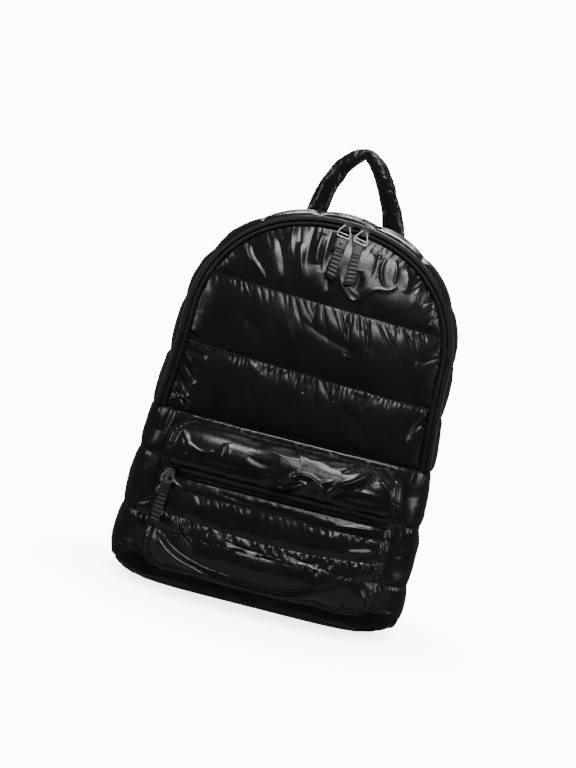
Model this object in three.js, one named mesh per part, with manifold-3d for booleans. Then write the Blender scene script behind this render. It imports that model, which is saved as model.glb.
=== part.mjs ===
// A quilted puffer backpack, standing on its base. Millimetres, +Z up, the front of the bag faces -Y.
// The main compartment is an arch-fronted front panel closed by a zip to a padded band, over a lower body
// that wraps round from one back edge to the other. A zipped pouch pocket sits on the lower body, a padded
// haul loop stands on the crown, and two padded straps with webbing and adjusters hang on the back panel.
import * as THREE from "three";
import { mergeVertices } from "three/addons/utils/BufferGeometryUtils.js";
import Module from "manifold-3d";

const wasm = await Module();
wasm.setup();

// Driving sizes of the bag
const WAIST_HEIGHT = 182; // floor to the seam below the front panel
const ZIP_TOP_HEIGHT = 400; // floor to the zip at the crown
const ARCH_HEIGHT = 123; // rounded part of the front panel
const BAG_DEPTH = 124; // zip line to back panel
const CROWN_LEAN = 22; // how far the crown of the front leans back
const CROWN_SHIFT = 6; // how far the slack crown leans to the wearer's left
const WAIST_HALF_WIDTH = 137; // centre to the zip at the waist
const ARCH_HALF_WIDTH = 131; // centre to the zip where the arch starts
const SIDE_HALF_WIDTH = 145; // centre to the side seam at the waist
const BASE_FLARE = 10; // how much wider the side is at the base
const FRONT_DOME = 14; // how far the filled front stands out of the zip line
const BASE_ROUNDING = 30; // radius of the bottom edge
const ARCH_POWER = 2.2; // 2 is an ellipse, more is squarer
const PLAN_POWER_BASE = 4; // the same for the plan of the lower body, at the base
const PLAN_POWER_WAIST = 6; // and at the waist

// Cloth, padding and clearances
const SHELL_CLOTH = 3; // wall at a seam, two cloths and squeezed padding
const GAP = 0.3; // between neighbouring pieces
const FRONT_PUFF = 11; // loft of a front channel over its seams
const LOWER_PUFF = 6; // the same on the lower body
const BAND_PUFF = 6; // on the band
const BACK_PUFF = 5; // on the back panel
const BACK_WALL = 5; // back panel at its seams
const BAND_BULGE = 5; // how far the band bows out between its edges
const BAND_CHANNELS = 11; // quilted channels along the band
const GATHER_PITCH = 34; // folds run out of the seams this far apart
const GATHER_STRENGTH = 1.4; // 0 is a smooth channel
const EDGE_ROLL = 22; // width over which a channel rolls down to the zip
const DOME_REACH = 80; // width over which the front dome rises
const SEAM_SLOPE = 0.036; // fall of the front seams across the bag

// Main zip
const ZIP_HALF_WIDTH = 5.5; // over both lips
const ZIP_LIP_HEIGHT = 2.6;
const ZIP_MOUTH = 0.8; // between the lips
const ZIP_SEAT = 24; // flat width of the front panel's inside, beside the zip
const COIL_HALF_WIDTH = 2.7;
const COIL_DEPTH = 2.2;

// Base
const BASE_THICKNESS = 4;
const PIPING_RADIUS = 2;

// Pocket
const POCKET_HALF_WIDTH = 119.5;
const POCKET_BOTTOM = 26;
const POCKET_TOP = 177;
const POCKET_ZIP_HEIGHT = 124;
const POCKET_ZIP_MOUTH = 5; // between flap and pouch
const POCKET_DEPTH = 31;
const POCKET_WALL = 2.6;
const POCKET_POWER = 5.5;
const POCKET_TAPE_THICKNESS = 1.6;

// Haul loop
const LOOP_HALF_SPAN = 41.5;
const LOOP_HEIGHT = 70; // crown to the middle of the fold
const LOOP_THICKNESS = 15;
const LOOP_WIDTH = 22;
const LOOP_OFFSET = 2.5; // loop's middle, off the middle of the crown
const LOOP_SETBACK = 9; // from the back panel

// Zip sliders and pulls
const SLIDER_LENGTH = 10;
const SLIDER_WIDTH = 8.6;
const SLIDER_THICKNESS = 3;
const BRIDGE_HEIGHT = 3.8;
const BRIDGE_WIDTH = 3.2;
const BRIDGE_WALL = 1.1;
const BRIDGE_SHARE = 0.42; // half its length, as a share of the slider's width
const SLIDER_NOSE = 0.55; // where the plate's corners are cut, as a share
const WIRE = 1.4; // wire of the link between slider and pull
const LINK_TOP_WIDTH = 8.6;
const LINK_LENGTH = 9.5;
const PULL_WIDTH = 9.6;
const PULL_LENGTH = 44;
const PULL_THICKNESS = 3;
const PULL_RIBS = 7;
const RIB_FOOT = 0.45; // depth between the ribs, as a share
const PULL_HEAD_LENGTH = 10;
const PULL_HEAD_THICKNESS = 4.2;
const LAY_SHARE = 0.6; // of the head's thickness, from a pull's middle to what it lies on
const LEFT_PULL_SWING = 0.1; // sideways lean of the left pull, radians
const MAIN_SLIDER_PLACES = [1.5, 19.5]; // along the zip from the middle of the crown
const POCKET_SLIDER_PLACE = 108; // from the middle towards the wearer's right

// Shoulder straps
const STRAP_WIDTH = 62;
const STRAP_THICKNESS = 12;
const STRAP_TOP_HEIGHT = 378;
const STRAP_END_HEIGHT = 168;
const STRAP_TOP_SPACING = 40; // centre of the back to the strap's centre, at the top
const STRAP_END_SPACING = 96; // and at the padded end
const STRAP_BOW = 24; // how far the strap stands off the back
const WEBBING_WIDTH = 25;
const WEBBING_THICKNESS = 1.6;
const ANCHOR_HEIGHT = 38;
const ANCHOR_HALF_HEIGHT = 17;
const ANCHOR_SPACING = 112;
const TAIL_LENGTH = 60;
const TAB_LENGTH = 4;
const BUCKLE_HEIGHT = 22;
const BUCKLE_BAR = 3.4;
const BUCKLE_SIDE = 4.5;
const BUCKLE_THICKNESS = 4;

// Sizes that follow from the ones above
const linkWidth = PULL_WIDTH + 2 * (WIRE + GAP);
const bridgeHalf = SLIDER_WIDTH * BRIDGE_SHARE;
const eyeDepth = BRIDGE_HEIGHT - BRIDGE_WALL;
const barRoom = WIRE / 2 + GAP;
const headTop = barRoom + WIRE;

const mirrored = (shares) => [...shares.slice(1).map((share) => -share).reverse(), ...shares];
const clamp = (x, low, high) => Math.min(high, Math.max(low, x));
const mix = (a, b, t) => a + (b - a) * t;
const signedPower = (x, power) => Math.sign(x) * Math.abs(x) ** power;
const list = (count, make) => Array.from({ length: count }, (_, i) => make(i));

// Height of a filled channel across its width, as a share
const pillow = (t) => Math.sqrt(Math.max(0, 4 * t * (1 - t)));

// How much of the loft the gathers at a seam take away, at a place along the seam
function gathered(loft, run) {
  const turn = (2 * Math.PI * run) / GATHER_PITCH;
  const fold = 0.5 + 0.3 * Math.cos(turn) + 0.2 * Math.cos(turn / 1.7 + 1);
  return loft ** (1 + GATHER_STRENGTH * fold);
}

// Places across quilted channels, closer together near the seams, each with the loft that it has there
function quiltRows(seams, perChannel) {
  const rows = [{ at: seams[0], loft: 0 }];
  for (let channel = 1; channel < seams.length; channel++)
    for (let step = 1; step <= perChannel; step++) {
      const t = (1 - Math.cos((Math.PI * step) / perChannel)) / 2;
      rows.push({ at: mix(seams[channel - 1], seams[channel], t), loft: pillow(t) });
    }
  return rows;
}

// Every third place, or so, and the last, which is enough for the smooth inside
const innerRowsOf = (rows, step = 3) =>
  rows.filter((row, i) => i % step === 0 || i === rows.length - 1);

// A solid from points and triangles, with its faces turned outwards
function solidOf(points, triangles) {
  const geometry = new THREE.BufferGeometry().setFromPoints(points);
  geometry.setIndex(triangles.flat());
  return manifoldOf(geometry);
}

function manifoldOf(geometry) {
  geometry.deleteAttribute("normal");
  geometry.deleteAttribute("uv");
  const merged = mergeVertices(geometry, 1e-4);
  const build = (triVerts) =>
    new wasm.Manifold(
      new wasm.Mesh({
        numProp: 3,
        vertProperties: new Float32Array(merged.attributes.position.array),
        triVerts: new Uint32Array(triVerts),
      }),
    );
  const index = [];
  for (let i = 0; i < merged.index.count; i += 3) {
    const corners = [0, 1, 2].map((k) => merged.index.getX(i + k));
    if (new Set(corners).size === 3) index.push(...corners);
  }
  const made = build(index);
  return made.volume() < 0 ? build(index.reverse()) : made;
}

// The largest body of a trimmed solid, without the offcuts
function mainBody(solid) {
  const bodies = solid.decompose();
  return bodies.reduce((best, body) => (body.volume() > best.volume() ? body : best));
}

// A closed wall between an outer and an inner surface, each a function of a column and a row. The inner
// one may have fewer rows.
function wall(columns, rows, outer, inner, innerRows = rows) {
  const across = columns.length;
  const sheets = [[outer, rows], [inner, innerRows]];
  const points = sheets.flatMap(([surface, sheetRows]) =>
    sheetRows.flatMap((row) => columns.map((column) => surface(column, row))),
  );
  const at = (side, i, j) => side * across * rows.length + j * across + i;
  const triangles = [];
  const quad = (a, b, c, d) => triangles.push([a, b, c], [a, c, d]);
  sheets.forEach(([, sheetRows], side) => {
    for (let j = 0; j + 1 < sheetRows.length; j++)
      for (let i = 0; i + 1 < across; i++) {
        const [a, b] = [at(side, i, j), at(side, i + 1, j)];
        if (side === 0) quad(a, b, b + across, a + across);
        else quad(a, a + across, b + across, b);
      }
  });
  const [top, innerTop] = [rows.length - 1, innerRows.length - 1];
  for (let i = 0; i + 1 < across; i++) {
    quad(at(0, i + 1, 0), at(0, i, 0), at(1, i, 0), at(1, i + 1, 0));
    quad(at(0, i, top), at(0, i + 1, top), at(1, i + 1, innerTop), at(1, i, innerTop));
  }
  // The two ends, where the rows of one sheet may outnumber the other's
  for (const [i, isFirst] of [[0, true], [across - 1, false]]) {
    let [j, k] = [0, 0];
    while (j < top || k < innerTop) {
      const outerNext = j < top && (k === innerTop || (j + 1) / top <= (k + 1) / innerTop);
      const corner = outerNext ? at(0, i, j + 1) : at(1, i, k + 1);
      const [a, b] = [at(0, i, j), at(1, i, k)];
      triangles.push(isFirst ? [a, corner, b] : [b, corner, a]);
      if (outerNext) j++;
      else k++;
    }
  }
  return solidOf(points, triangles);
}

// A solid skin over rings of points, with a flat fan over each end
function loft(rings) {
  const around = rings[0].length;
  const points = rings.flat();
  const triangles = [];
  for (let j = 0; j + 1 < rings.length; j++)
    for (let i = 0; i < around; i++) {
      const next = (i + 1) % around;
      const [a, b] = [j * around + i, j * around + next];
      triangles.push([a, b, b + around], [a, b + around, a + around]);
    }
  for (const [ring, turn] of [[0, 1], [rings.length - 1, -1]]) {
    const middle = rings[ring]
      .reduce((sum, point) => sum.add(point), new THREE.Vector3())
      .divideScalar(around);
    points.push(middle);
    for (let i = 0; i < around; i++) {
      const edge = [ring * around + i, ring * around + ((i + 1) % around)];
      if (turn > 0) edge.reverse();
      triangles.push([points.length - 1, ...edge]);
    }
  }
  return solidOf(points, triangles);
}

// An outline in the XZ plane, extruded along Y from one place to another
function prism(outline, from, to) {
  const shape = new THREE.Shape(outline.map(([x, z]) => new THREE.Vector2(x, z)));
  const geometry = new THREE.ExtrudeGeometry(shape, { depth: to - from, bevelEnabled: false });
  geometry.rotateX(Math.PI / 2);
  geometry.translate(0, to, 0);
  return manifoldOf(geometry);
}

// A box from its lowest to its highest corner
function block(low, high) {
  const size = high.map((value, i) => value - low[i]);
  const geometry = new THREE.BoxGeometry(...size);
  geometry.translate(...low.map((value, i) => value + size[i] / 2));
  return manifoldOf(geometry);
}

const joined = (...solids) => wasm.Manifold.union(solids);

function meshOf(name, solid, material) {
  const { vertProperties, triVerts, numProp } = solid.getMesh();
  const geometry = new THREE.BufferGeometry();
  const positions = new Float32Array((vertProperties.length / numProp) * 3);
  for (let i = 0; i * numProp < vertProperties.length; i++)
    positions.set(vertProperties.subarray(i * numProp, i * numProp + 3), i * 3);
  geometry.setAttribute("position", new THREE.BufferAttribute(positions, 3));
  geometry.setIndex(new THREE.BufferAttribute(new Uint32Array(triVerts), 1));
  const flat = geometry.toNonIndexed();
  flat.computeVertexNormals();
  const mesh = new THREE.Mesh(flat, material);
  mesh.name = name;
  return mesh;
}

// Finishes
const nylon = new THREE.MeshStandardMaterial({ color: 0x0b0b0c, roughness: 0.28, metalness: 0 });
const tape = new THREE.MeshStandardMaterial({ color: 0x101011, roughness: 0.5, metalness: 0 });
const webbing = new THREE.MeshStandardMaterial({ color: 0x141415, roughness: 0.75, metalness: 0 });
const gunmetal = new THREE.MeshStandardMaterial({ color: 0x3a3a3d, roughness: 0.35, metalness: 0.9 });
const rubber = new THREE.MeshStandardMaterial({ color: 0x2a2b2f, roughness: 0.6, metalness: 0 });
const plastic = new THREE.MeshStandardMaterial({ color: 0x121213, roughness: 0.45, metalness: 0 });

// The zip line: two legs that draw in a little, and a squared half round on top
const springHeight = ZIP_TOP_HEIGHT - ARCH_HEIGHT;

function zipHalfWidth(height) {
  if (height <= springHeight) {
    const below = (springHeight - height) / (springHeight - WAIST_HEIGHT);
    return ARCH_HALF_WIDTH + (WAIST_HALF_WIDTH - ARCH_HALF_WIDTH) * below ** 2;
  }
  const rise = clamp((height - springHeight) / ARCH_HEIGHT, 0, 1);
  return ARCH_HALF_WIDTH * (1 - rise ** ARCH_POWER) ** (1 / ARCH_POWER);
}

const riseOf = (height) => clamp((height - WAIST_HEIGHT) / (ZIP_TOP_HEIGHT - WAIST_HEIGHT), 0, 1);
const frontEdge = (height) => -BAG_DEPTH / 2 + CROWN_LEAN * riseOf(height) ** 2;

class ZipLine extends THREE.Curve {
  getPoint(t, target = new THREE.Vector3()) {
    const legShare = 0.16;
    const side = t < 0.5 ? -1 : 1;
    const along = t < 0.5 ? t : 1 - t;
    if (along < legShare) {
      const height = mix(WAIST_HEIGHT, springHeight, along / legShare);
      return target.set(side * zipHalfWidth(height), frontEdge(height), height);
    }
    const angle = ((along - legShare) / (0.5 - legShare)) * (Math.PI / 2);
    const height = springHeight + ARCH_HEIGHT * Math.sin(angle) ** (2 / ARCH_POWER);
    const x = side * ARCH_HALF_WIDTH * Math.abs(Math.cos(angle)) ** (2 / ARCH_POWER);
    return target.set(x, frontEdge(height), height);
  }
}

const zipLine = new ZipLine();
zipLine.arcLengthDivisions = 800;
const zipLength = zipLine.getLength();

// A place on the zip line, with the direction that points out of the arch and the direction of the zip
function zipStation(share) {
  const point = zipLine.getPointAt(share);
  const step = 0.004;
  const ahead = zipLine.getPointAt(clamp(share + step, 0, 1));
  const behind = zipLine.getPointAt(clamp(share - step, 0, 1));
  const along = ahead.sub(behind).setY(0).normalize();
  return { share, point, outward: new THREE.Vector3(-along.z, 0, along.x) };
}

// Places along the zip, with square ends that stand on the waist seam
const waistEnd = (share, height) => {
  const side = share < 0.5 ? -1 : 1;
  const point = new THREE.Vector3(side * zipHalfWidth(height), frontEdge(height), height);
  return { share, point, outward: new THREE.Vector3(side, 0, 0) };
};
const bandRows = quiltRows(list(BAND_CHANNELS + 1, (i) => i / BAND_CHANNELS), 4);
const stationsFrom = (height) =>
  bandRows.map((row, i) => {
    const isEnd = i === 0 || i === bandRows.length - 1;
    return { ...(isEnd ? waistEnd(row.at, height) : zipStation(row.at)), loft: row.loft };
  });
const stations = stationsFrom(WAIST_HEIGHT + GAP);

// A point beside the zip line: out of the arch by side, towards the front by forward
const besideZip = (station, side, forward) =>
  station.point.clone().addScaledVector(station.outward, side).add(new THREE.Vector3(0, -forward, 0));

const alongZip = (section) =>
  loft(stations.map((station) => section.map(([side, forward]) => besideZip(station, side, forward))));

// Room for the lips of the zip in the piece beside them
function zipRoom() {
  const reach = FRONT_PUFF * 3;
  const half = ZIP_HALF_WIDTH + GAP;
  const beyond = stationsFrom(WAIST_HEIGHT - ZIP_HALF_WIDTH);
  return loft(beyond.map((station) => [
    besideZip(station, -half, -GAP),
    besideZip(station, half, -GAP),
    besideZip(station, half, reach),
    besideZip(station, -half, reach),
  ]));
}

// One lip: a folded strip of tape beside the mouth of the zip, side is 1 for the outer and -1 for the inner
function zipLip(side) {
  const [near, far] = [ZIP_MOUTH / 2, ZIP_HALF_WIDTH];
  const top = ZIP_LIP_HEIGHT;
  const section = [
    [near, 0],
    [far, 0],
    [far, top * 0.6],
    [mix(near, far, 0.75), top],
    [mix(near, far, 0.2), top],
    [near, top * 0.7],
  ];
  return alongZip(section.map(([across, forward]) => [side * across, forward]));
}

const zipCoil = () =>
  alongZip([
    [-COIL_HALF_WIDTH, -GAP],
    [COIL_HALF_WIDTH, -GAP],
    [COIL_HALF_WIDTH, -GAP - COIL_DEPTH],
    [-COIL_HALF_WIDTH, -GAP - COIL_DEPTH],
  ]);

// The band: from the zip, over the crown and down the sides, back to the back panel
const bandColumns = [0, 0.07, 0.22, 0.5, 0.78, 0.93, 1];
const bandBow = (depth) => Math.sin(Math.PI * clamp(depth, 0, 1)) ** 0.7;

function bandPoint(station, depth, side) {
  const front = station.point.y + GAP;
  const y = mix(front, BAG_DEPTH / 2, depth);
  const shift = CROWN_SHIFT * depth * riseOf(station.point.z) ** 2;
  const lean = new THREE.Vector3(shift, 0, 0);
  return station.point.clone().setY(y).addScaledVector(station.outward, side).add(lean);
}

const bandOuterSide = (station, depth) =>
  COIL_HALF_WIDTH + SHELL_CLOTH + GAP + (BAND_BULGE + BAND_PUFF * station.loft) * bandBow(depth);

function band(grow = 0) {
  return wall(
    bandColumns,
    stations,
    (depth, station) => bandPoint(station, depth, bandOuterSide(station, depth) + grow),
    (depth, station) => bandPoint(station, depth, COIL_HALF_WIDTH + GAP + BAND_BULGE * bandBow(depth)),
  );
}

// The front panel: quilted across, domed where the bag is full
function insetFromZip(x, height) {
  if (height <= springHeight) return zipHalfWidth(height) - Math.abs(x);
  const [across, up] = [Math.abs(x) / ARCH_HALF_WIDTH, (height - springHeight) / ARCH_HEIGHT];
  return ARCH_HALF_WIDTH * (1 - (across ** ARCH_POWER + up ** ARCH_POWER) ** (1 / ARCH_POWER));
}

const frontDome = (x, height, margin = 0) =>
  FRONT_DOME * (1 - (1 - clamp((insetFromZip(x, height) - margin) / DOME_REACH, 0, 1)) ** 2);
const edgeRoll = (x, height) =>
  Math.sqrt(1 - (1 - clamp(insetFromZip(x, height) / EDGE_ROLL, 0, 1)) ** 2);

const FRONT_SEAM_SHARES = [0, 0.303, 0.633, 1]; // of the height from waist to crown
const frontSeams = FRONT_SEAM_SHARES.map((share) => mix(WAIST_HEIGHT, ZIP_TOP_HEIGHT, share));
const frontRows = quiltRows(frontSeams, 6);
const FRONT_COLUMNS = [0, 0.15, 0.3, 0.45, 0.6, 0.72, 0.82, 0.89, 0.94, 0.975, 1];
const frontColumns = mirrored(FRONT_COLUMNS);

function frontPlace(column, row) {
  const x = column * WAIST_HALF_WIDTH;
  const fall = SEAM_SLOPE * Math.sin(Math.PI * riseOf(row.at)) ** 0.5;
  return { x, z: row.at - x * fall };
}

// The largest folds of the slack front. Places are shares of the half width and of the height from waist to
// crown, lean is from upright in radians, length and width are shares of the half width.
const FRONT_FOLDS = [
  { across: -0.47, up: 0.82, lean: -0.7, length: 0.34, width: 0.09, depth: 0.3 },
  { across: -0.08, up: 0.7, lean: 0.1, length: 0.4, width: 0.1, depth: 0.3 },
  { across: 0.16, up: 0.8, lean: 0.5, length: 0.3, width: 0.09, depth: 0.35 },
  { across: 0.62, up: 0.72, lean: -0.5, length: 0.3, width: 0.1, depth: 0.3 },
  { across: 0.3, up: 0.53, lean: -0.6, length: 0.3, width: 0.1, depth: 0.25 },
  { across: -0.72, up: 0.5, lean: 0.9, length: 0.26, width: 0.09, depth: 0.3 },
  { across: -0.55, up: 0.16, lean: -0.4, length: 0.3, width: 0.1, depth: 0.25 },
  { across: 0.42, up: 0.18, lean: 0.4, length: 0.3, width: 0.1, depth: 0.25 },
];

function frontFolds(x, z) {
  const depths = FRONT_FOLDS.map(({ across, up, lean, length, width, depth }) => {
    const dx = x - across * WAIST_HALF_WIDTH;
    const dz = z - mix(WAIST_HEIGHT, ZIP_TOP_HEIGHT, up);
    const along = (dx * Math.sin(lean) + dz * Math.cos(lean)) / (length * WAIST_HALF_WIDTH);
    const aside = (dx * Math.cos(lean) - dz * Math.sin(lean)) / (width * WAIST_HALF_WIDTH);
    return depth * FRONT_PUFF * Math.exp(-(aside ** 2) - (2 * along) ** 2);
  });
  return depths.reduce((sum, depth) => sum + depth, 0);
}

function frontSurface(x, z, loftShare) {
  const puff = FRONT_PUFF * gathered(loftShare, x) - frontFolds(x, z) * loftShare;
  return frontEdge(z) - frontDome(x, z) - puff * edgeRoll(x, z);
}

const zipOutline = (side) =>
  stations.map((station) => {
    const point = besideZip(station, side, 0);
    return [point.x, point.z];
  });

function frontPanel() {
  const panel = wall(
    frontColumns,
    frontRows,
    (column, row) => {
      const { x, z } = frontPlace(column, row);
      return new THREE.Vector3(x, frontSurface(x, z, row.loft), z);
    },
    (column, row) => {
      const { x, z } = frontPlace(column, row);
      return new THREE.Vector3(x, frontEdge(z) - frontDome(x, z, ZIP_SEAT) + SHELL_CLOTH, z);
    },
    innerRowsOf(frontRows, 2),
  );
  const outline = zipOutline(-COIL_HALF_WIDTH - GAP);
  return mainBody(panel.intersect(prism(outline, -BAG_DEPTH, BAG_DEPTH / 2)).subtract(zipRoom()));
}

// The lower body: quilted in three channels, from one back edge round the front to the other
const LOWER_SEAM_SHARES = [0, 0.35, 0.7, 1]; // of the height from base to waist
const lowerBottom = BASE_THICKNESS + GAP;
const lowerTop = WAIST_HEIGHT - GAP;
const lowerSeamHeights = LOWER_SEAM_SHARES.map((share) => mix(lowerBottom, lowerTop, share));
const roundingRun = (BASE_ROUNDING * Math.PI) / 2;
const frontHalfDepth = BAG_DEPTH / 2 + FRONT_DOME;

// The run of cloth from the bottom edge, round the rounded corner and up to a height
function runTo(height) {
  const above = height - lowerBottom - BASE_ROUNDING;
  if (above >= 0) return roundingRun + above;
  return roundingRun - BASE_ROUNDING * Math.asin(clamp(-above / BASE_ROUNDING, 0, 1));
}

const lowerRows = quiltRows(lowerSeamHeights.map(runTo), 5);

// Where the cloth is after a run: its height, and how far it is drawn in, with the surface set off outwards
function lowerPlace(run, off) {
  if (run >= roundingRun) return { height: lowerBottom + BASE_ROUNDING + run - roundingRun, inset: -off };
  const angle = Math.PI / 2 - run / BASE_ROUNDING;
  return {
    height: lowerBottom + BASE_ROUNDING - (BASE_ROUNDING + off) * Math.sin(angle),
    inset: BASE_ROUNDING - (BASE_ROUNDING + off) * Math.cos(angle),
  };
}

// Plan of the lower body at a height: half width, half depth at the front and at the back, squareness
function planAt(height, inset) {
  const drop = clamp(1 - height / WAIST_HEIGHT, 0, 1);
  return {
    width: SIDE_HALF_WIDTH + BASE_FLARE * drop ** 0.8 - inset,
    front: frontHalfDepth - inset,
    back: frontHalfDepth - Math.min(inset, 0),
    power: mix(PLAN_POWER_BASE, PLAN_POWER_WAIST, 1 - drop),
  };
}

// A place along the plan, from one back edge round the front to the other
function planPoint(plan, share, height) {
  const { width, front, back, power } = plan;
  const backWidth = width * (1 - (lowerEdge / back) ** power) ** (1 / power);
  const reach = Math.atan2(lowerEdge, backWidth);
  const angle = mix(Math.PI + reach, -reach, share);
  const depth = Math.sin(angle) > 0 ? front : back;
  const across = (Math.abs(Math.cos(angle)) / width) ** power;
  const radius = (across + (Math.abs(Math.sin(angle)) / depth) ** power) ** (-1 / power);
  return new THREE.Vector3(radius * Math.cos(angle), -radius * Math.sin(angle), height);
}

const lowerEdge = BAG_DEPTH / 2;

// Shares along the plan that are evenly spaced on the cloth, and the length of the cloth
function evenShares(count) {
  const plan = planAt(WAIST_HEIGHT / 2, 0);
  const fine = list(801, (i) => i / 800);
  const path = fine.map((share) => planPoint(plan, share, 0));
  const run = [0];
  for (let i = 1; i < path.length; i++) run.push(run[i - 1] + path[i].distanceTo(path[i - 1]));
  const shares = list(count + 1, (i) => {
    const wanted = (run.at(-1) * i) / count;
    return fine[run.findIndex((length) => length >= wanted - 1e-6)];
  });
  return [shares, run.at(-1)];
}

const [lowerColumns, lowerRun] = evenShares(36);

function lowerBody(grow = 0, thickness = SHELL_CLOTH) {
  const surface = (off) => (share, row) => {
    const { height, inset } = lowerPlace(row.at, off(row, share));
    return planPoint(planAt(height, inset), share, height);
  };
  return wall(
    lowerColumns,
    lowerRows,
    surface((row, share) => LOWER_PUFF * gathered(row.loft, (share - 0.5) * lowerRun) + grow),
    surface(() => -thickness),
    innerRowsOf(lowerRows),
  );
}

// The loft at a place between seams
function loftAt(seams, place) {
  const channel = clamp(seams.findIndex((seam) => seam > place), 1, seams.length - 1);
  return pillow(clamp((place - seams[channel - 1]) / (seams[channel] - seams[channel - 1]), 0, 1));
}

// Front of the lower body at a place across and up, seams and channels included
function lowerFront(x, height) {
  const run = runTo(height);
  const { inset } = lowerPlace(run, LOWER_PUFF * loftAt(lowerSeamHeights.map(runTo), run));
  const plan = planAt(height, inset);
  return -plan.front * (1 - clamp(Math.abs(x) / plan.width, 0, 1) ** plan.power) ** (1 / plan.power);
}

// The base: a flat panel inside a piped edge
const baseLine = (inset, height) =>
  lowerColumns.map((share) => planPoint(planAt(0, BASE_ROUNDING + inset), share, height));

function basePanel() {
  const edge = baseLine(PIPING_RADIUS * 2 + GAP * 2, 0);
  const shape = new THREE.Shape(edge.map((point) => new THREE.Vector2(point.x, point.y)));
  return manifoldOf(new THREE.ExtrudeGeometry(shape, { depth: BASE_THICKNESS, bevelEnabled: false }));
}

function basePiping() {
  const radius = PIPING_RADIUS - GAP / 2;
  const middle = baseLine(PIPING_RADIUS / 2, PIPING_RADIUS);
  const rings = middle.map((point, i) => {
    const ahead = middle[Math.min(i + 1, middle.length - 1)];
    const along = ahead.clone().sub(middle[Math.max(i - 1, 0)]).normalize();
    const out = new THREE.Vector3(-along.y, along.x, 0);
    return list(6, (k) => {
      const angle = (k * Math.PI) / 3;
      const offset = out.clone().multiplyScalar(radius * Math.cos(angle));
      return point.clone().add(offset).add(new THREE.Vector3(0, 0, radius * Math.sin(angle)));
    });
  });
  return loft(rings);
}

// The back panel: a full height padded panel behind the band and the lower body
const backTop = ZIP_TOP_HEIGHT + ZIP_HALF_WIDTH + SHELL_CLOTH;
const backSeams = [...lowerSeamHeights.slice(0, -1), ...frontSeams.slice(0, -1), backTop];
const backFace = BAG_DEPTH / 2 + GAP;

function backPanel(grow = 0) {
  const rows = quiltRows(backSeams, 4);
  const columns = mirrored([0, 0.35, 0.65, 0.85, 1]);
  const half = SIDE_HALF_WIDTH + BASE_FLARE;
  const roll = (column) => Math.sqrt(1 - Math.abs(column) ** 6);
  const place = (column, row, y) =>
    new THREE.Vector3(column * half + CROWN_SHIFT * riseOf(row.at) ** 2, y, row.at);
  const panel = wall(
    columns,
    rows,
    (column, row) => place(column, row, backFace + BACK_WALL + BACK_PUFF * row.loft * roll(column) + grow),
    (column, row) => place(column, row, backFace),
    [rows[0], rows.at(-1)],
  );
  const crown = stations.map((station) => {
    const point = bandPoint(station, 1, bandOuterSide(station, 1) + grow);
    return [point.x, point.z];
  });
  const sides = lowerRows.slice(0, -1).map((row) => {
    const { height, inset } = lowerPlace(row.at, grow);
    return [planPoint(planAt(height, inset), 1, height).x, height];
  });
  const outline = [...sides.map(([x, z]) => [-x, z]), ...crown, ...sides.reverse()];
  return panel.intersect(prism(outline, 0, BAG_DEPTH));
}

const backAt = (height) => backFace + BACK_WALL + BACK_PUFF * loftAt(backSeams, height);

// The pocket: a flap over the zip and a pouch below it, both standing off the lower body.
// Each row is a place up the piece, with its depth off the body, its width and how far it sags in the middle,
// as shares.
const FLAP_ROWS = [
  { up: 0, depth: 0.7, width: 1 },
  { up: 0.06, depth: 0.7, width: 1 },
  { up: 0.13, depth: 0.91, width: 1 },
  { up: 0.3, depth: 1, width: 1 },
  { up: 0.6, depth: 0.97, width: 0.995 },
  { up: 0.82, depth: 0.8, width: 0.97 },
  { up: 0.94, depth: 0.52, width: 0.91 },
  { up: 1, depth: 0, width: 0.85 },
];
const POUCH_ROWS = [
  { up: 0, depth: 0, width: 0.86 },
  { up: 0.03, depth: 0.45, width: 0.91 },
  { up: 0.1, depth: 0.78, width: 0.97 },
  { up: 0.24, depth: 0.98, width: 1 },
  { up: 0.44, depth: 0.98, width: 1, sag: 0.04 },
  { up: 0.6, depth: 0.86, width: 1, sag: 0.1 },
  { up: 0.65, depth: 0.74, width: 1, sag: 0.11 },
  { up: 0.7, depth: 0.84, width: 1, sag: 0.09 },
  { up: 0.77, depth: 0.88, width: 1, sag: 0.03 },
  { up: 0.83, depth: 0.74, width: 1 },
  { up: 0.9, depth: 0.72, width: 1 },
  { up: 1, depth: 0.68, width: 1 },
];
const pocketColumns = mirrored(list(8, (i) => 1 - (1 - i / 7) ** 2.6));
const pouchTop = POCKET_ZIP_HEIGHT - POCKET_ZIP_MOUTH / 2;

const pocketShape = (share) => (1 - Math.abs(share) ** POCKET_POWER) ** (1 / POCKET_POWER);

function pocketPoint(share, height, width, depth) {
  const x = width * share;
  return new THREE.Vector3(x, lowerFront(x, height) - GAP - depth * pocketShape(share), height);
}

function pocketPiece(rows, bottom, top) {
  const middle = (bottom + top) / 2;
  const heightOf = (row, share) => mix(bottom, top, row.up - (row.sag ?? 0) * (1 - share ** 2));
  const piece = wall(
    pocketColumns,
    rows,
    (share, row) => {
      const height = heightOf(row, share);
      return pocketPoint(share, height, POCKET_HALF_WIDTH * row.width, POCKET_DEPTH * row.depth);
    },
    (share, row) => {
      const outer = heightOf(row, share);
      const height = row.depth > 0 ? outer : outer + POCKET_WALL * Math.sign(middle - outer);
      const depth = Math.max(0, POCKET_DEPTH * row.depth - POCKET_WALL);
      return pocketPoint(share, height, POCKET_HALF_WIDTH * row.width - POCKET_WALL, depth);
    },
  );
  return mainBody(piece.subtract(lowerBody(GAP, BASE_ROUNDING / 2)));
}

const pocketFlap = () => pocketPiece(FLAP_ROWS, POCKET_ZIP_HEIGHT + POCKET_ZIP_MOUTH / 2, POCKET_TOP);
const pocketPouch = () => pocketPiece(POUCH_ROWS, POCKET_BOTTOM, pouchTop);

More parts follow.
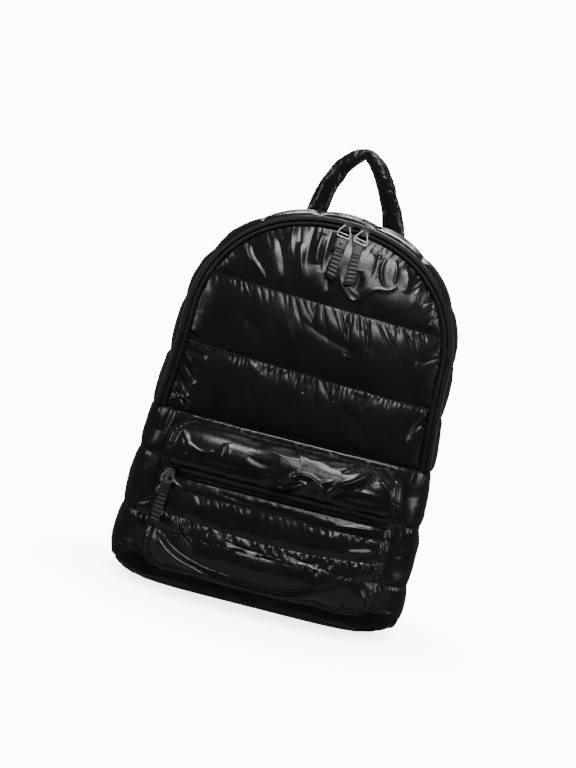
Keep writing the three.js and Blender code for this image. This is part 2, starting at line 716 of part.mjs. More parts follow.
// Front of the pouch at a place across and up
function pouchFront(x, height) {
  const up = clamp((height - POCKET_BOTTOM) / (pouchTop - POCKET_BOTTOM), 0, 1);
  const next = clamp(POUCH_ROWS.findIndex((row) => row.up >= up), 1, POUCH_ROWS.length - 1);
  const [low, high] = [POUCH_ROWS[next - 1], POUCH_ROWS[next]];
  const t = (up - low.up) / (high.up - low.up);
  const share = clamp(x / (POCKET_HALF_WIDTH * mix(low.width, high.width, t)), -1, 1);
  return lowerFront(x, height) - GAP - POCKET_DEPTH * mix(low.depth, high.depth, t) * pocketShape(share);
}

// The pocket's zip: a strip of tape and coil in the mouth between flap and pouch
const pocketZipDepth = POCKET_DEPTH * POUCH_ROWS.at(-1).depth - GAP;

function pocketZip() {
  const half = POCKET_ZIP_MOUTH / 2 - GAP;
  const strip = (inward) => (share, off) =>
    pocketPoint(share, POCKET_ZIP_HEIGHT + off, POCKET_HALF_WIDTH - inward, pocketZipDepth - inward);
  const piece = wall(pocketColumns, [-half, half], strip(0), strip(POCKET_TAPE_THICKNESS));
  return mainBody(piece.subtract(lowerBody(GAP, BASE_ROUNDING / 2)));
}

// The haul loop: a padded tube on two legs, folded to a point on top. Shares of half span and height.
const LOOP_ROWS = [
  { across: -1.04, up: -0.22, width: 1 },
  { across: -1, up: 0, width: 1 },
  { across: -0.88, up: 0.36, width: 0.96 },
  { across: -0.68, up: 0.68, width: 0.9 },
  { across: -0.4, up: 0.89, width: 0.75 },
  { across: -0.12, up: 1, width: 0.52 },
  { across: 0.1, up: 0.93, width: 0.66 },
  { across: 0.3, up: 0.8, width: 0.82 },
  { across: 0.54, up: 0.58, width: 0.95 },
  { across: 0.8, up: 0.29, width: 1.02 },
  { across: 1, up: 0, width: 1.1 },
  { across: 1.1, up: -0.22, width: 1.1 },
];
const crownHeight = ZIP_TOP_HEIGHT + ZIP_HALF_WIDTH + BAND_BULGE;
const loopPlace = (row) =>
  new THREE.Vector3(
    CROWN_SHIFT + LOOP_OFFSET + LOOP_HALF_SPAN * row.across,
    BAG_DEPTH / 2 - LOOP_SETBACK,
    crownHeight + LOOP_HEIGHT * row.up,
  );

// A ring with rounded corners around a point, wide along one direction and thick along the other
function paddedRing(point, across, through, width, thickness, sides = 12, power = 2.6) {
  return list(sides, (i) => {
    const angle = (2 * Math.PI * i) / sides;
    return point
      .clone()
      .addScaledVector(across, (width / 2) * signedPower(Math.cos(angle), 2 / power))
      .addScaledVector(through, (thickness / 2) * signedPower(Math.sin(angle), 2 / power));
  });
}

function haulLoop() {
  const through = new THREE.Vector3(0, 1, 0);
  const places = LOOP_ROWS.map(loopPlace);
  const rings = places.map((point, i) => {
    const ahead = places[Math.min(i + 1, places.length - 1)];
    const behind = places[Math.max(i - 1, 0)];
    const along = ahead.clone().sub(behind).normalize();
    const across = new THREE.Vector3().crossVectors(along, through).normalize();
    const { width } = LOOP_ROWS[i];
    const thickness = LOOP_THICKNESS * Math.sqrt(Math.min(width, 1));
    return paddedRing(point, across, through, LOOP_WIDTH * width, thickness);
  });
  return mainBody(loft(rings).subtract(band(GAP)).subtract(backPanel(GAP)));
}

// An outline in the YZ plane, extruded along X over a width about the middle
function rail(outline, width) {
  const shape = new THREE.Shape(outline.map(([y, z]) => new THREE.Vector2(y, z)));
  const geometry = new THREE.ExtrudeGeometry(shape, { depth: width, bevelEnabled: false });
  const axes = [[0, 1, 0], [0, 0, 1], [1, 0, 0]].map((axis) => new THREE.Vector3(...axis));
  geometry.applyMatrix4(new THREE.Matrix4().makeBasis(...axes));
  geometry.translate(-width / 2, 0, 0);
  return manifoldOf(geometry);
}

// A slider: a plate on the zip and a bridge that holds the link. Made with the zip along X, behind the
// origin.
function slider() {
  const [end, half] = [SLIDER_LENGTH / 2, SLIDER_WIDTH / 2];
  const [neck, nose] = [end * SLIDER_NOSE, half * SLIDER_NOSE];
  const corner = [[neck, half], [end, nose]];
  const outline = [
    ...corner,
    ...corner.map(([x, z]) => [x, -z]).reverse(),
    ...corner.map(([x, z]) => [-x, -z]),
    ...corner.map(([x, z]) => [-x, z]).reverse(),
  ];
  const plate = prism(outline, -SLIDER_THICKNESS, 0);
  const front = -SLIDER_THICKNESS - BRIDGE_HEIGHT;
  const bridge = block([-BRIDGE_WIDTH / 2, front, -bridgeHalf], [BRIDGE_WIDTH / 2, -1, bridgeHalf]);
  const eye = block(
    [-BRIDGE_WIDTH, front + BRIDGE_WALL, BRIDGE_WALL - bridgeHalf],
    [BRIDGE_WIDTH, -SLIDER_THICKNESS, bridgeHalf - BRIDGE_WALL],
  );
  return joined(plate, bridge).subtract(eye);
}

// The link: a frame of wire that hangs from the bridge, its upper bar through the origin, its shoulders
// drawn in
function link() {
  const shoulder = WIRE - LINK_LENGTH + headTop + WIRE;
  const half = (inset) => [
    [LINK_TOP_WIDTH / 2 - inset, WIRE / 2 - inset],
    [linkWidth / 2 - inset, shoulder],
    [linkWidth / 2 - inset, WIRE / 2 - LINK_LENGTH + inset],
  ];
  const frame = (inset) => [...half(inset), ...half(inset).map(([x, z]) => [-x, z]).reverse()];
  return prism(frame(0), -WIRE / 2, WIRE / 2).subtract(prism(frame(WIRE), -WIRE, WIRE));
}

// The pull: a ribbed strip with a plain head round the link's lower bar, that bar at the origin
function pull() {
  const [back, front] = [PULL_THICKNESS / 2, -PULL_THICKNESS / 2];
  const pitch = (PULL_LENGTH - PULL_HEAD_LENGTH) / PULL_RIBS;
  const start = headTop - PULL_HEAD_LENGTH;
  const ribs = list(PULL_RIBS, (rib) => [
    [front * RIB_FOOT, start - rib * pitch],
    [front, start - (rib + 0.3) * pitch],
    [front, start - (rib + 0.75) * pitch],
  ]).flat();
  const end = start - PULL_RIBS * pitch;
  const strip = rail([[back, start], ...ribs, [front * RIB_FOOT, end], [back, end]], PULL_WIDTH);
  const [half, thick] = [PULL_WIDTH / 2, PULL_HEAD_THICKNESS / 2];
  const head = block([-half, -thick, start - GAP], [half, thick, headTop]);
  const bar = block([-PULL_WIDTH, -barRoom, -barRoom], [PULL_WIDTH, barRoom, barRoom]);
  return joined(strip, head).subtract(bar);
}

// How far a link and pull lean out from a pivot so that they lie on the surface below it
function leanOn(surfaceAt, pivot) {
  const reach = LINK_LENGTH + PULL_LENGTH;
  const needed = list(30, (i) => {
    const drop = (reach * (i + 4)) / 33;
    const edges = [-PULL_WIDTH / 2, 0, PULL_WIDTH / 2];
    const front = Math.min(...edges.map((side) => surfaceAt(pivot.x + side, pivot.z - drop)));
    return Math.atan2(pivot.y - front + PULL_HEAD_THICKNESS * LAY_SHARE + GAP, drop);
  });
  return Math.max(0, ...needed);
}

// A slider with its link and pull: where it sits, how it is turned, and what the pull lies on
function zipHardware(name, { seat, roll = 0, turn = 0, swing = 0, surfaceAt }) {
  const carrier = new THREE.Group();
  carrier.position.copy(seat);
  carrier.rotation.set(0, -roll, turn, "ZYX");
  carrier.add(meshOf(`${name}_slider`, slider(), gunmetal));

  const eye = new THREE.Vector3(0, -SLIDER_THICKNESS - eyeDepth / 2, 0);
  const pivot = eye.clone().applyEuler(carrier.rotation).add(seat);
  const hanging = new THREE.Group();
  hanging.position.copy(pivot);
  hanging.rotation.set(-leanOn(surfaceAt, pivot), swing, turn, "ZXY");
  const strap = meshOf(`${name}_pull`, pull(), rubber);
  strap.position.z = WIRE - LINK_LENGTH;
  hanging.add(meshOf(`${name}_link`, link(), gunmetal), strap);
  return [carrier, hanging];
}

// A place on the main zip for a slider, given along the zip from the middle of the crown
function mainSlider(name, along, swing) {
  const { point, outward } = zipStation(0.5 + along / zipLength);
  const seat = point.clone().add(new THREE.Vector3(0, -ZIP_LIP_HEIGHT - GAP, 0));
  return zipHardware(name, { seat, roll: Math.atan2(-outward.x, outward.z), swing, surfaceAt: frontAt });
}

// Front of the front panel at a place across and up
function frontAt(x, z) {
  const row = z + x * SEAM_SLOPE * Math.sin(Math.PI * riseOf(z)) ** 0.5;
  return frontSurface(x, z, loftAt(frontSeams, row));
}

// The pocket's slider sits on the hem of the flap and the top of the pouch
function pocketSlider() {
  const depth = POCKET_DEPTH * Math.max(FLAP_ROWS[0].depth, POUCH_ROWS.at(-1).depth) + GAP;
  const half = SLIDER_WIDTH / 2;
  const mouth = (x) => {
    const places = [-half, half].map((off) =>
      pocketPoint(x / POCKET_HALF_WIDTH, POCKET_ZIP_HEIGHT + off, POCKET_HALF_WIDTH, depth),
    );
    return places[0].y < places[1].y ? places[0] : places[1];
  };
  const [here, beside] = [mouth(-POCKET_SLIDER_PLACE), mouth(SLIDER_LENGTH / 2 - POCKET_SLIDER_PLACE)];
  const turn = Math.atan2(beside.y - here.y, beside.x - here.x);
  const seat = here.setZ(POCKET_ZIP_HEIGHT).add(new THREE.Vector3(0, -GAP, 0));
  return zipHardware("pocket", { seat, turn, surfaceAt: pouchFront });
}

// A shoulder strap: padded, from the top of the back panel down to a buckle. Shares of its length and width.
const STRAP_ROWS = [
  { along: 0, width: 0.86, thickness: 0.6 },
  { along: 0.04, width: 0.95, thickness: 0.95 },
  { along: 0.14, width: 1, thickness: 1 },
  { along: 0.28, width: 1, thickness: 1 },
  { along: 0.42, width: 0.98, thickness: 1 },
  { along: 0.56, width: 0.95, thickness: 1 },
  { along: 0.7, width: 0.92, thickness: 1 },
  { along: 0.84, width: 0.86, thickness: 0.95 },
  { along: 0.95, width: 0.68, thickness: 0.85 },
  { along: 1, width: 0.52, thickness: 0.6 },
];
const strapSeat = backFace + BACK_WALL + BACK_PUFF + GAP + STRAP_THICKNESS / 2;

function strapPlace(side, along) {
  const x = mix(STRAP_TOP_SPACING, STRAP_END_SPACING, along ** 1.25);
  const y = strapSeat + STRAP_BOW * Math.sin(Math.PI * along) ** 1.2;
  return new THREE.Vector3(side * x, y, mix(STRAP_TOP_HEIGHT, STRAP_END_HEIGHT, along));
}

// From the end of the strap down to the anchor
const webbingRun = (side) =>
  new THREE.Vector3(side * ANCHOR_SPACING, strapSeat, ANCHOR_HEIGHT).sub(strapPlace(side, 1));

function shoulderStrap(side) {
  const rings = STRAP_ROWS.map(({ along, width, thickness }) => {
    const [ahead, behind] = [Math.min(along + 0.02, 1), Math.max(along - 0.02, 0)];
    const path = strapPlace(side, ahead).sub(strapPlace(side, behind));
    const run = (along < 1 ? path : webbingRun(side)).normalize();
    const across = new THREE.Vector3().crossVectors(run, new THREE.Vector3(0, 1, 0)).normalize();
    const through = new THREE.Vector3().crossVectors(across, run).normalize();
    const place = strapPlace(side, along);
    return paddedRing(place, across, through, STRAP_WIDTH * width, STRAP_THICKNESS * thickness, 14, 3);
  });
  return loft(rings);
}

// Below the strap: a tab, a ladder buckle and webbing that turns round its middle bar. Their own frame has
// the strap's end at the origin, +Z up along the webbing and +Y away from the back.
const tabEnd = -GAP - TAB_LENGTH;
const topBar = tabEnd - GAP;
const slotHeight = (BUCKLE_HEIGHT - 3 * BUCKLE_BAR) / 2;
const middleBar = topBar - BUCKLE_BAR - slotHeight;
const halfBuckle = BUCKLE_THICKNESS / 2;
const halfWebbing = WEBBING_WIDTH / 2;
const clothBack = halfBuckle + GAP;
const clothFace = clothBack + WEBBING_THICKNESS;

function ladderBuckle() {
  const half = halfWebbing + GAP;
  const side = half + BUCKLE_SIDE;
  const frame = block([-side, -halfBuckle, topBar - BUCKLE_HEIGHT], [side, halfBuckle, topBar]);
  const slot = (top) => block([-half, -BUCKLE_THICKNESS, top - slotHeight], [half, BUCKLE_THICKNESS, top]);
  return frame.subtract(slot(topBar - BUCKLE_BAR)).subtract(slot(middleBar - BUCKLE_BAR));
}

function strapTab() {
  const low = topBar - BUCKLE_BAR - GAP;
  const tab = block([-halfWebbing, -clothFace, low - WEBBING_THICKNESS], [halfWebbing, clothFace, -GAP]);
  return tab.subtract(block([-WEBBING_WIDTH, -clothBack, low], [WEBBING_WIDTH, clothBack, tabEnd]));
}

function strapWebbing(length) {
  const turn = middleBar + GAP;
  const outline = [
    [-clothFace, -length],
    [-clothFace, turn + WEBBING_THICKNESS * 0.6],
    [-clothBack, turn + WEBBING_THICKNESS],
    [clothBack, turn + WEBBING_THICKNESS],
    [clothFace, turn + WEBBING_THICKNESS * 0.6],
    [clothFace, middleBar - TAIL_LENGTH],
    [clothBack, middleBar - TAIL_LENGTH],
    [clothBack, turn],
    [-clothBack, turn],
    [-clothBack, -length],
  ];
  return rail(outline, WEBBING_WIDTH);
}

// The cloth wing that holds the webbing at the base, sewn in at the back edge
function strapAnchor(side) {
  const [low, high] = [ANCHOR_HEIGHT - ANCHOR_HALF_HEIGHT, ANCHOR_HEIGHT + ANCHOR_HALF_HEIGHT];
  const inner = ANCHOR_SPACING - halfWebbing - PIPING_RADIUS;
  const edge = (height) => {
    const { inset } = lowerPlace(runTo(height), 0);
    return planPoint(planAt(height, inset), 1, height).x - GAP;
  };
  const outline = [
    [inner, mix(low, high, 0.25)],
    [edge(low), low],
    [edge(high), high],
    [inner, mix(low, high, 0.75)],
  ].map(([x, z]) => [side * x, z]);
  const back = backAt(ANCHOR_HEIGHT) + GAP;
  return prism(side > 0 ? outline : outline.reverse(), back, strapSeat - clothFace - GAP);
}

function strapSet(side) {
  const name = side < 0 ? "left" : "right";
  const run = webbingRun(side);
  const lower = new THREE.Group();
  lower.position.copy(strapPlace(side, 1));
  lower.rotation.y = Math.atan2(-run.x, -run.z);
  lower.add(
    meshOf(`strap_tab_${name}`, strapTab(), webbing),
    meshOf(`strap_buckle_${name}`, ladderBuckle(), plastic),
    meshOf(`strap_webbing_${name}`, strapWebbing(run.length()), webbing),
  );
  return [
    meshOf(`shoulder_strap_${name}`, shoulderStrap(side), nylon),
    lower,
    meshOf(`strap_anchor_${name}`, strapAnchor(side), nylon),
  ];
}

const bag = new THREE.Group();
bag.add(
  meshOf("base_panel", basePanel(), nylon),
  meshOf("base_piping", basePiping(), nylon),
  meshOf("lower_body", lowerBody(), nylon),
  meshOf("front_panel", frontPanel(), nylon),
  meshOf("band", band(), nylon),
  meshOf("back_panel", backPanel(), nylon),
  meshOf("zip_lip_outer", zipLip(1), tape),
  meshOf("zip_lip_inner", zipLip(-1), tape),
  meshOf("zip_coil", zipCoil(), tape),
  meshOf("pocket_flap", pocketFlap(), nylon),
  meshOf("pocket_pouch", pocketPouch(), nylon),
  meshOf("pocket_zip", pocketZip(), tape),
  meshOf("haul_loop", haulLoop(), nylon),
  ...mainSlider("left", MAIN_SLIDER_PLACES[0], LEFT_PULL_SWING),
  ...mainSlider("right", MAIN_SLIDER_PLACES[1], 0),
  ...pocketSlider(),
  ...strapSet(-1),
  ...strapSet(1),
);

// The origin is on the floor, under the middle of the bag
bag.updateMatrixWorld(true);
const middle = new THREE.Box3().setFromObject(bag, true).getCenter(new THREE.Vector3());
bag.position.set(-middle.x, -middle.y, 0);

export default bag;
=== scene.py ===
"""A quilted puffer backpack of glossy black nylon, standing on its base and seen from the front."""

import math

import bmesh
import bpy
import numpy as np
from mathutils import Matrix, Vector
from mathutils.geometry import delaunay_2d_cdt


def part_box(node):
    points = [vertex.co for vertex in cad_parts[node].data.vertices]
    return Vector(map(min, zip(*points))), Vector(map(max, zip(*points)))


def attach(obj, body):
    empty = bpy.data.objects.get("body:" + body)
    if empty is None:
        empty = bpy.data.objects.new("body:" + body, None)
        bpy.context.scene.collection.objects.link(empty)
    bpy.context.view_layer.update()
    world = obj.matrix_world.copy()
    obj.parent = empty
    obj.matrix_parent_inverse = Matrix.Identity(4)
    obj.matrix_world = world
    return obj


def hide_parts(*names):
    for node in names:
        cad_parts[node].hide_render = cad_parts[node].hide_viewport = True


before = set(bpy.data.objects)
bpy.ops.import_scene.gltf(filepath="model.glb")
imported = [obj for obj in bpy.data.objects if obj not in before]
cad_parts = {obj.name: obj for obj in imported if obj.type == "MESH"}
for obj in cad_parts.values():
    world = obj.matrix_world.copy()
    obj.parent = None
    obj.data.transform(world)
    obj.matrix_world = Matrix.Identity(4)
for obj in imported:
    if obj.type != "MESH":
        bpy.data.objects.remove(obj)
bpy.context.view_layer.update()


def linked(name, data):
    """A new object in the scene"""
    thing = bpy.data.objects.new(name, data)
    bpy.context.scene.collection.objects.link(thing)
    return thing


def new_node(tree, kind, **values):
    """A node with values on its inputs. An underscore stands for the space in an input's name."""
    node = tree.nodes.new(kind)
    for name, value in values.items():
        node.inputs[name.replace("_", " ")].default_value = value
    return node


def wired(tree, *wires):
    """Links in a node tree, each from an output of one node to an input of another"""
    for start, output, end, entry in wires:
        tree.links.new(start.outputs[output], end.inputs[entry])


# Stage: a pale floor under soft boxes, and a long lens a little above the middle of the bag. The photograph
# holds the bag turned clockwise, so the camera is rolled the other way.
CAMERA_DISTANCE = 1.8
CAMERA_ELEVATION = math.radians(5.5)
CAMERA_ROLL = math.radians(14.3)
CAMERA_TARGET = Vector((-0.0174, 0, 0.2285))
SEEN_HEIGHT = 0.795
SENSOR = 36

camera_data = bpy.data.cameras.new("camera")
camera_data.sensor_width = SENSOR
camera_data.lens = SENSOR * CAMERA_DISTANCE / SEEN_HEIGHT
camera = linked("camera", camera_data)
backward = Vector((0, -math.cos(CAMERA_ELEVATION), math.sin(CAMERA_ELEVATION)))
camera.matrix_world = (
    Matrix.Translation(CAMERA_TARGET + backward * CAMERA_DISTANCE)
    @ backward.to_track_quat("Z", "Y").to_matrix().to_4x4()
    @ Matrix.Rotation(CAMERA_ROLL, 4, "Z")
)
bpy.context.scene.camera = camera

# the soft boxes face the middle of the bag, and the card on the floor faces up
LIGHT_COLOUR = (1, 0.97, 0.94)
LIGHT_AIM = Vector((0, 0, 0.22))
SOFT_BOXES = [
    {"name": "overhead_box", "at": (0.16, -0.7, 1.65), "size": (0.7, 0.6), "watts": 17},
    {"name": "front_box", "at": (0.5, -1.9, 1.75), "size": (0.8, 0.5), "watts": 11},
    {"name": "left_box", "at": (-1.5, -0.55, 0.7), "size": (0.5, 1.2), "watts": 7},
    {"name": "right_box", "at": (1.6, -0.3, 0.6), "size": (0.5, 1.2), "watts": 7},
    {"name": "back_box", "at": (0.1, 1.6, 1.5), "size": (1.2, 0.6), "watts": 20},
    {"name": "floor_card", "at": (0, -0.16, 0.003), "size": (0.6, 0.13), "watts": 0.06},
]
for soft_box in SOFT_BOXES:
    light_data = bpy.data.lights.new(soft_box["name"], "AREA")
    light_data.shape = "RECTANGLE"
    light_data.size, light_data.size_y = soft_box["size"]
    light_data.energy = soft_box["watts"]
    light_data.color = LIGHT_COLOUR
    light = linked(soft_box["name"], light_data)
    light.visible_camera = False
    place = Vector(soft_box["at"])
    aim = Vector((0, 0, 1)) if soft_box["name"] == "floor_card" else LIGHT_AIM - place
    light.matrix_world = Matrix.Translation(place) @ aim.to_track_quat("-Z", "Y").to_matrix().to_4x4()

# the room is white to the camera and dim to the bag
WHITE_GLOW, ROOM_LIGHT = 12, 0.075
room = bpy.data.worlds.new("room")
room.use_nodes = True
bpy.context.scene.world = room
room.node_tree.nodes.clear()
seen_room = new_node(room.node_tree, "ShaderNodeBackground", Color=(1, 1, 1, 1), Strength=WHITE_GLOW)
room_light = new_node(room.node_tree, "ShaderNodeBackground", Color=(1, 0.98, 0.96, 1), Strength=ROOM_LIGHT)
ray = new_node(room.node_tree, "ShaderNodeLightPath")
either = new_node(room.node_tree, "ShaderNodeMixShader")
wired(
    room.node_tree,
    (ray, "Is Camera Ray", either, "Fac"),
    (room_light, "Background", either, 1),
    (seen_room, "Background", either, 2),
    (either, "Shader", new_node(room.node_tree, "ShaderNodeOutputWorld"), "Surface"),
)

# the floor glows white by itself, with a painted shadow where the bag stands close (its glow dimmed by ambient
# occlusion), and the cloth doesn't mirror it
FLOOR_REACH, SHADOW_REACH = 40, 0.22
FLOOR_GREY, SHADOW_GREY, GLOW_GREY = 0.86, 0.25, 0.98
floor_corners = [(x * FLOOR_REACH, y * FLOOR_REACH, 0) for x, y in ((-1, -1), (1, -1), (1, 1), (-1, 1))]
floor_mesh = bpy.data.meshes.new("floor")
floor_mesh.from_pydata(floor_corners, [], [(0, 1, 2, 3)])
floor = linked("floor", floor_mesh)
floor_paint = bpy.data.materials.new("floor_paint")
floor_paint.use_nodes = True
floor_shader = floor_paint.node_tree.nodes["Principled BSDF"]
floor_shader.inputs["Base Color"].default_value = (FLOOR_GREY, FLOOR_GREY, FLOOR_GREY, 1)
floor_shader.inputs["Roughness"].default_value = 0.9
floor_shader.inputs["Emission Strength"].default_value = WHITE_GLOW
# painted shadow: the glow's colour runs from dark grey under the bag to near white farther off
closeness = new_node(floor_paint.node_tree, "ShaderNodeAmbientOcclusion", Distance=SHADOW_REACH)
shade = new_node(floor_paint.node_tree, "ShaderNodeValToRGB")
for element, grey in zip(shade.color_ramp.elements, (SHADOW_GREY, GLOW_GREY)):
    element.color = (grey, grey, grey, 1)
wired(floor_paint.node_tree, (closeness, "AO", shade, "Fac"), (shade, "Color", floor_shader, "Emission Color"))
floor_mesh.materials.append(floor_paint)
floor.visible_glossy = False
floor.visible_diffuse = False

# Front panel: glossy coated nylon over loose fill, sewn to its backing along two slanting seams and round
# its edge, so that it puffs up in three channels and gathers where the seams draw it in. The main zip runs
# round its arch.
WAIST_HEIGHT = 0.182
CROWN_HEIGHT = 0.4
ARCH_HEIGHT = 0.123
ARCH_POWER = 2.2
ARCH_HALF_WIDTH = 0.131
WAIST_HALF_WIDTH = 0.137
BAG_DEPTH = 0.124
CROWN_LEAN = 0.022
FRONT_DOME = 0.014
DOME_REACH = 0.08
ZIP_HALF_WIDTH = 0.0055
FRONT_SEAM_SHARES = [0.303, 0.633]
SEAM_SLOPE = 0.036
GAP = 0.0003
FRONT_INSET, SEAM_INSET, SEAM_REACH = 0.0035, 0.0036, 0.14
SPRING_HEIGHT = CROWN_HEIGHT - ARCH_HEIGHT
# the CAD part is centred on its own box, and its back panel's front face stands at half depth
BAG_SHIFT = np.array(Vector((0.00006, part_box("back_panel")[0].y - BAG_DEPTH / 2 - GAP, 0)))


def zip_half_width(z):
    """Half width of the zip's arch at a height, below its top"""
    z = np.asarray(z, float)
    below = (SPRING_HEIGHT - z) / (SPRING_HEIGHT - WAIST_HEIGHT)
    leg = ARCH_HALF_WIDTH + (WAIST_HALF_WIDTH - ARCH_HALF_WIDTH) * np.clip(below, 0, None) ** 2
    rise = np.clip((z - SPRING_HEIGHT) / ARCH_HEIGHT, 0, 1)
    return np.where(z <= SPRING_HEIGHT, leg, ARCH_HALF_WIDTH * (1 - rise**ARCH_POWER) ** (1 / ARCH_POWER))


def rise_of(z):
    return np.clip((np.asarray(z, float) - WAIST_HEIGHT) / (CROWN_HEIGHT - WAIST_HEIGHT), 0, 1)


def front_edge(z):
    """How far forward the zip lies at a height"""
    return -BAG_DEPTH / 2 + CROWN_LEAN * rise_of(z) ** 2


def inset_from_zip(x, z):
    """How far inside the zip's arch a place on the front is"""
    x, z = np.abs(np.asarray(x, float)), np.asarray(z, float)
    up = np.clip((z - SPRING_HEIGHT) / ARCH_HEIGHT, 0, None)
    arch = ARCH_HALF_WIDTH * (1 - ((x / ARCH_HALF_WIDTH) ** ARCH_POWER + up**ARCH_POWER) ** (1 / ARCH_POWER))
    return np.where(z <= SPRING_HEIGHT, zip_half_width(z) - x, arch)


def front_base(x, z):
    """The front panel's backing, where its seams lie"""
    inset = np.clip((inset_from_zip(x, z) - ZIP_HALF_WIDTH) / DOME_REACH, 0, 1)
    y = front_edge(z) + GAP - FRONT_DOME * (1 - (1 - inset) ** 2)
    return np.column_stack([x, y, z]) + BAG_SHIFT


def runs_of(line):
    """How far along a line each of its points is"""
    return np.concatenate([[0], np.cumsum(np.linalg.norm(np.diff(line, axis=0), axis=1))])


def at_runs(wanted, runs, line):
    """The places on a line after some runs along it"""
    return np.column_stack([np.interp(wanted, runs, line[:, k]) for k in range(line.shape[1])])


def unit(rows):
    """Directions made one long"""
    return rows / np.linalg.norm(rows, axis=1)[:, None]


def across_bag(points):
    """The same places on the other side of the bag"""
    return points * [-1, 1, 1] + [2 * BAG_SHIFT[0], 0, 0]


def evened(line, times):
    """A line whose inner places are drawn towards their neighbours, some times over"""
    for _ in range(times):
        line[1:-1] = (line[:-2] + 2 * line[1:-1] + line[2:]) / 4
    return line


def spaced(line, pitch):
    """A line's points, set evenly about one pitch apart"""
    line = np.asarray(line, float)
    run = runs_of(line)
    return at_runs(np.linspace(0, run[-1], max(2, round(run[-1] / pitch) + 1)), run, line)


def is_inside(points, outline):
    """Which points of the plane are inside a closed outline"""
    inside = np.zeros(len(points), bool)
    for (ax, ay), (bx, by) in zip(outline, np.roll(outline, -1, axis=0)):
        crosses = (ay > points[:, 1]) != (by > points[:, 1])
        with np.errstate(divide="ignore", invalid="ignore"):
            at = (bx - ax) * (points[:, 1] - ay) / (by - ay) + ax
        inside ^= crosses & (points[:, 0] < at)
    return inside


def nearest_of(places, points):
    """How far each place is from the nearest of some points"""
    nearest = np.full(len(places), np.inf)
    for point in points:
        nearest = np.minimum(nearest, np.hypot(*(places - point).T))
    return nearest


def cut_cloth(outline, seams, pitch, seed):
    """A flat cut of cloth as points and triangles, with a mark on the points of its outline and seams"""
    jitter, clearance = 0.18, 0.62
    chance = np.random.default_rng(seed)
    edge = spaced(np.vstack([outline, outline[:1]]), pitch)[:-1]
    lines = [spaced(seam, pitch) for seam in seams]
    fixed = np.vstack([edge, *lines])
    low, high = edge.min(0), edge.max(0)
    rows = np.arange(low[1], high[1], pitch * math.sqrt(0.75))
    columns = np.arange(low[0], high[0] + pitch, pitch)
    grid = np.array([(x + pitch / 2 * (j % 2), y) for j, y in enumerate(rows) for x in columns])
    grid += chance.uniform(-jitter, jitter, grid.shape) * pitch
    grid = grid[is_inside(grid, edge)]
    grid = grid[nearest_of(grid, fixed) > clearance * pitch]
    starts = np.cumsum([len(edge)] + [len(line) for line in lines])
    rails = [(start + k, start + k + 1) for start, line in zip(starts, lines) for k in range(len(line) - 1)]
    points = [Vector(point) for point in np.vstack([fixed, grid])]
    made = delaunay_2d_cdt(points, rails, [list(range(len(edge)))], 1, 1e-7)
    places = np.array([tuple(point) for point in made[0]])
    sewn = np.array([not origin or min(origin) < len(fixed) for origin in made[3]])
    return places, made[2], sewn


def sewn_cloth(name, points, triangles, held, growth, pressure=5, frames=24):
    """Cloth that is held at its seams, larger than its backing by growth along each axis, and blown up"""
    scale = 10  # the solver's own measures suit a larger cloth
    mesh = bpy.data.meshes.new(name)
    mesh.from_pydata((points * scale).tolist(), [], triangles)
    piece = linked(name, mesh)
    piece.shape_key_add(name="backing")
    cut = piece.shape_key_add(name="cut")
    centre = points.mean(0)
    grown = (centre + (points - centre) * np.array(growth)) * scale
    cut.data.foreach_set("co", grown.astype(np.float32).ravel())
    pins = piece.vertex_groups.new(name="pins")
    pins.add([int(i) for i in np.nonzero(held)[0]], 1, "REPLACE")
    cloth = piece.modifiers.new("cloth", "CLOTH")
    settings = cloth.settings
    settings.rest_shape_key = cut
    settings.vertex_group_mass = "pins"
    settings.quality = 4
    settings.mass = 0.002
    settings.air_damping = 0.3
    settings.tension_stiffness = 15
    settings.compression_stiffness = 15
    settings.shear_stiffness = 5
    settings.bending_stiffness = 0.05
    settings.use_pressure = True
    settings.uniform_pressure_force = pressure
    settings.effector_weights.gravity = 0
    cloth.collision_settings.use_collision = False
    cloth.point_cache.frame_start = 1
    cloth.point_cache.frame_end = frames
    for step in range(1, frames + 1):
        bpy.context.scene.frame_set(step)
    blown = np.empty(len(points) * 3, np.float32)
    evaluated = piece.evaluated_get(bpy.context.evaluated_depsgraph_get())
    evaluated.data.vertices.foreach_get("co", blown)
    bpy.data.objects.remove(piece)
    bpy.context.scene.frame_set(1)
    return blown.reshape(-1, 3).astype(float) / scale


def front_seam(share):
    """A seam across the front panel, which falls a little to the right"""
    height = WAIST_HEIGHT + share * (CROWN_HEIGHT - WAIST_HEIGHT)
    slope = SEAM_SLOPE * math.sqrt(math.sin(math.pi * float(rise_of(height))))
    line = [(x, height - slope * x) for x in np.linspace(-SEAM_REACH, SEAM_REACH, 141)]
    return np.array([point for point in line if inset_from_zip(*point) > SEAM_INSET])


arch = np.linspace(0, math.pi, 121)
arch_line = np.column_stack([
    ARCH_HALF_WIDTH * np.sign(np.cos(arch)) * np.abs(np.cos(arch)) ** (2 / ARCH_POWER),
    SPRING_HEIGHT + ARCH_HEIGHT * np.sin(arch) ** (2 / ARCH_POWER),
])
legs = np.linspace(WAIST_HEIGHT + GAP, SPRING_HEIGHT, 40)[:-1]
leg_widths = zip_half_width(legs)
zip_line = np.vstack([
    np.column_stack([leg_widths, legs]),
    arch_line,
    np.column_stack([-leg_widths, legs])[::-1],
])
zip_run = runs_of(zip_line)
zip_inward = np.gradient(zip_line, axis=0)
zip_inward = unit(np.column_stack([-zip_inward[:, 1], zip_inward[:, 0]]))
front_outline = zip_line + zip_inward * FRONT_INSET
front_outline[[0, -1], 1] = WAIST_HEIGHT + GAP


def edges_of(triangles):
    """The triangles' sides, the edges that these lie on, each side's edge, and how many sides an edge has"""
    sides = np.vstack([triangles[:, [0, 1]], triangles[:, [1, 2]], triangles[:, [2, 0]]])
    edges, which, uses = np.unique(np.sort(sides, axis=1), axis=0, return_inverse=True, return_counts=True)
    return sides, edges, which.ravel(), uses


